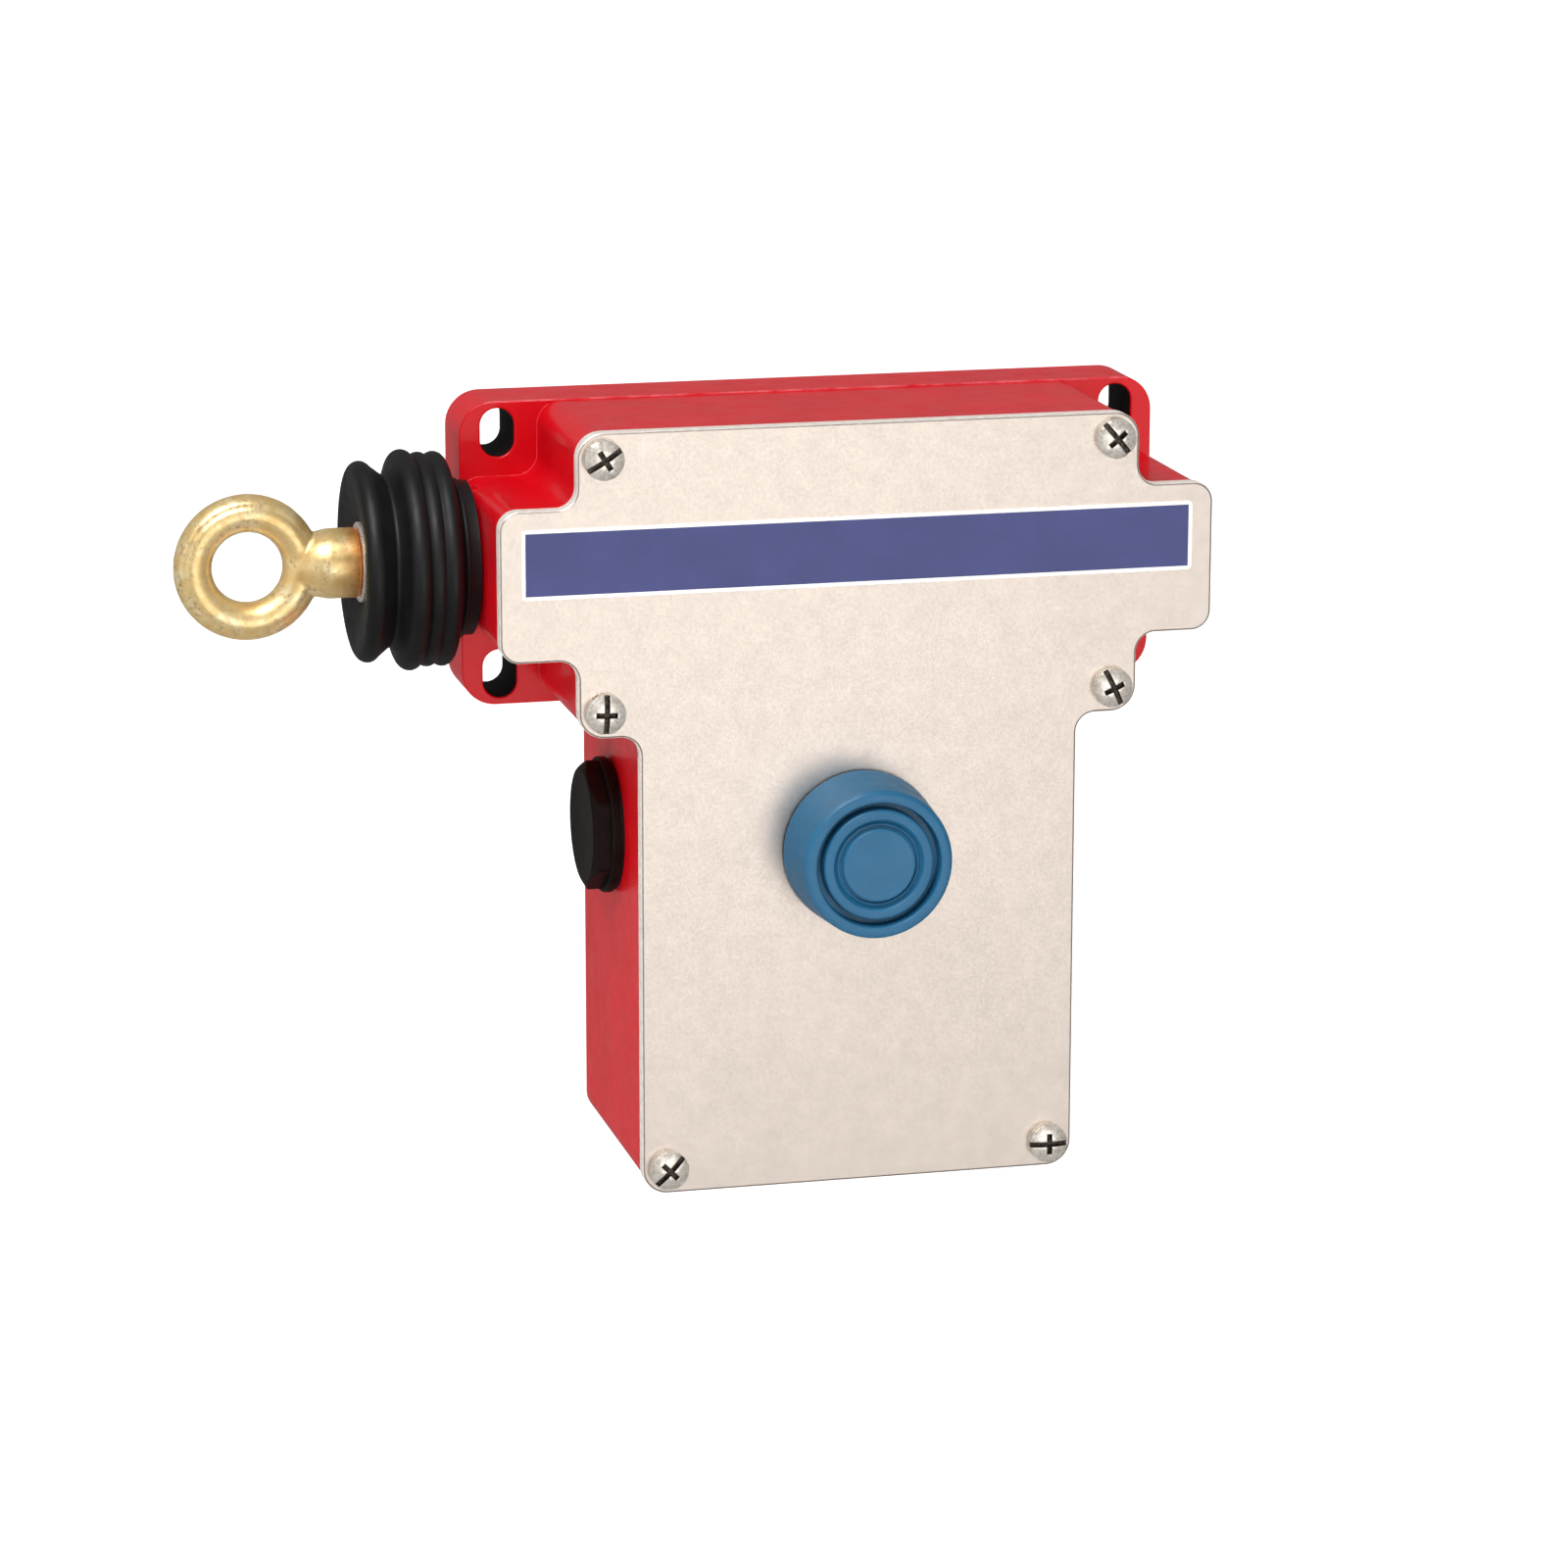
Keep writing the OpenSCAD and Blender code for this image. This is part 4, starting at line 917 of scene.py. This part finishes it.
class SWITCH_OT_stage(bpy.types.Operator):
    """Set up the camera, the white sweep and the soft light"""

    bl_idname = "switch.stage"
    bl_label = "Stage"

    def execute(self, context):
        sizes = context.scene.switch_stage
        self.camera(context, sizes)
        self.sweep(sizes)
        self.surround(sizes)
        target = Vector((-0.016, -0.058, -0.041))
        self.light(context, "key", (-0.6, -0.8, 1.3), target, 0.9, sizes.key_power)
        self.light(context, "card", (0.25, -1.75, -0.2), target, 1.1, sizes.card_power)
        self.light(context, "side", (-1.6, -0.75, -0.05), target, 1.0, sizes.side_power)
        self.sky(context, sizes.sky)
        context.scene.view_settings.view_transform = "Standard"
        return {"FINISHED"}

    def camera(self, context, sizes):
        """Looks at the switch from the left and a little above."""
        data = bpy.data.cameras.new("camera")
        data.lens = sizes.lens
        data.sensor_width = 36
        data.clip_start = 0.05
        made = bpy.data.objects.new("camera", data)
        context.scene.collection.objects.link(made)
        place, target = Vector((-0.2711, -1.0885, 0.2149)), Vector((-0.01585, -0.058, -0.0413))
        roll = Quaternion((0, 0, 1), math.radians(0.06))
        made.matrix_world = Matrix.Translation(place) @ (
            (target - place).to_track_quat("-Z", "Y") @ roll).to_matrix().to_4x4()
        context.scene.camera = made

    def sweep(self, sizes):
        """A floor that curves up into a backdrop."""
        foot = cad_box[0][2] - sizes.floor_drop
        near_end, back, bend, tall, half_width = -4.0, 1.6, 0.6, 3, 4
        bm = bmesh.new()
        path = [(near_end, foot), (back, foot)]
        path += [
            (back + bend * math.sin(math.radians(a)), foot + bend - bend * math.cos(math.radians(a)))
            for a in range(15, 91, 15)
        ]
        path += [(back + bend, foot + tall)]
        verts = [bm.verts.new((-half_width, y, z)) for y, z in path]
        edges = [bm.edges.new(pair) for pair in zip(verts, verts[1:])]
        out = bmesh.ops.extrude_edge_only(bm, edges=edges)
        bmesh.ops.translate(
            bm, vec=2 * half_width * X,
            verts=[v for v in out["geom"] if isinstance(v, bmesh.types.BMVert)])
        bmesh.ops.recalc_face_normals(bm, faces=bm.faces)
        made = new_stage_piece("studio_sweep", bm, studio_paper(sizes.floor_glow))
        made.visible_glossy = False

    def surround(self, sizes):
        """White paper all round for the views from behind. It lights nothing."""
        below, radius, bend, tall = 0.01, 4.0, 0.6, 6
        foot = Vector((0, 0, cad_box[0][2] - sizes.floor_drop - below))
        outline = [(0, 0), (0, radius)]
        outline += [
            (bend - bend * math.cos(math.radians(a)), radius + bend * math.sin(math.radians(a)))
            for a in range(15, 91, 15)
        ]
        outline += [(tall, radius + bend)]
        made = new_stage_piece("studio_surround", spun(outline, foot, Z, X, 96), studio_paper(1.0))
        made.visible_glossy = made.visible_diffuse = made.visible_shadow = False

    def light(self, context, name, place, target, size, power):
        """A square soft light aimed at the switch."""
        data = bpy.data.lights.new(name, "AREA")
        data.size = size
        data.energy = power
        made = bpy.data.objects.new(name, data)
        context.scene.collection.objects.link(made)
        place = Vector(place)
        made.matrix_world = Matrix.Translation(place) @ (
            target - place).to_track_quat("-Z", "Y").to_matrix().to_4x4()

    def sky(self, context, strength):
        """Even white surroundings."""
        world = bpy.data.worlds.new("studio")
        world.use_nodes = True
        back = world.node_tree.nodes["Background"]
        back.inputs["Color"].default_value = linear("#FFFFFF")
        back.inputs["Strength"].default_value = strength
        context.scene.world = world


class SWITCH_PT_panel(bpy.types.Panel):
    """Lists the pieces and their sizes"""

    bl_idname = "SWITCH_PT_panel"
    bl_label = "Rope-pull switch"
    bl_space_type = "VIEW_3D"
    bl_region_type = "UI"
    bl_category = "Rope-pull switch"

    def draw(self, context):
        column = self.layout.column()
        for name, _ in SETTINGS:
            group = getattr(context.scene, name)
            for key in group.bl_rna.properties.keys():
                if key not in ("rna_type", "name"):
                    column.prop(group, key)
        for operator in OPERATORS:
            column.operator(operator.bl_idname)


SETTINGS = (
    ("switch_colours", FinishColours), ("switch_edges", EdgeSizes), ("switch_eye", EyeSizes),
    ("switch_stage", StageSizes),
)
OPERATORS = (
    SWITCH_OT_finishes, SWITCH_OT_housing, SWITCH_OT_cover, SWITCH_OT_gasket, SWITCH_OT_screws,
    SWITCH_OT_label, SWITCH_OT_plugs, SWITCH_OT_bellows, SWITCH_OT_eye, SWITCH_OT_washer,
    SWITCH_OT_boot, SWITCH_OT_springs, SWITCH_OT_stage,
)


def register():
    """Registers the settings, the operators and the panel."""
    for name, group in SETTINGS:
        bpy.utils.register_class(group)
        setattr(bpy.types.Scene, name, bpy.props.PointerProperty(type=group))
    for operator in OPERATORS:
        bpy.utils.register_class(operator)
    bpy.utils.register_class(SWITCH_PT_panel)


def unregister():
    """Takes back what register set up."""
    bpy.utils.unregister_class(SWITCH_PT_panel)
    for operator in reversed(OPERATORS):
        bpy.utils.unregister_class(operator)
    for name, group in reversed(SETTINGS):
        delattr(bpy.types.Scene, name)
        bpy.utils.unregister_class(group)


def main():
    """Builds every piece and the stage."""
    register()
    for step in (
        bpy.ops.switch.finishes, bpy.ops.switch.housing, bpy.ops.switch.cover, bpy.ops.switch.gasket,
        bpy.ops.switch.screws, bpy.ops.switch.label, bpy.ops.switch.plugs, bpy.ops.switch.bellows,
        bpy.ops.switch.eye, bpy.ops.switch.washer, bpy.ops.switch.boot, bpy.ops.switch.springs,
        bpy.ops.switch.stage,
    ):
        step()


if __name__ == "__main__":
    main()
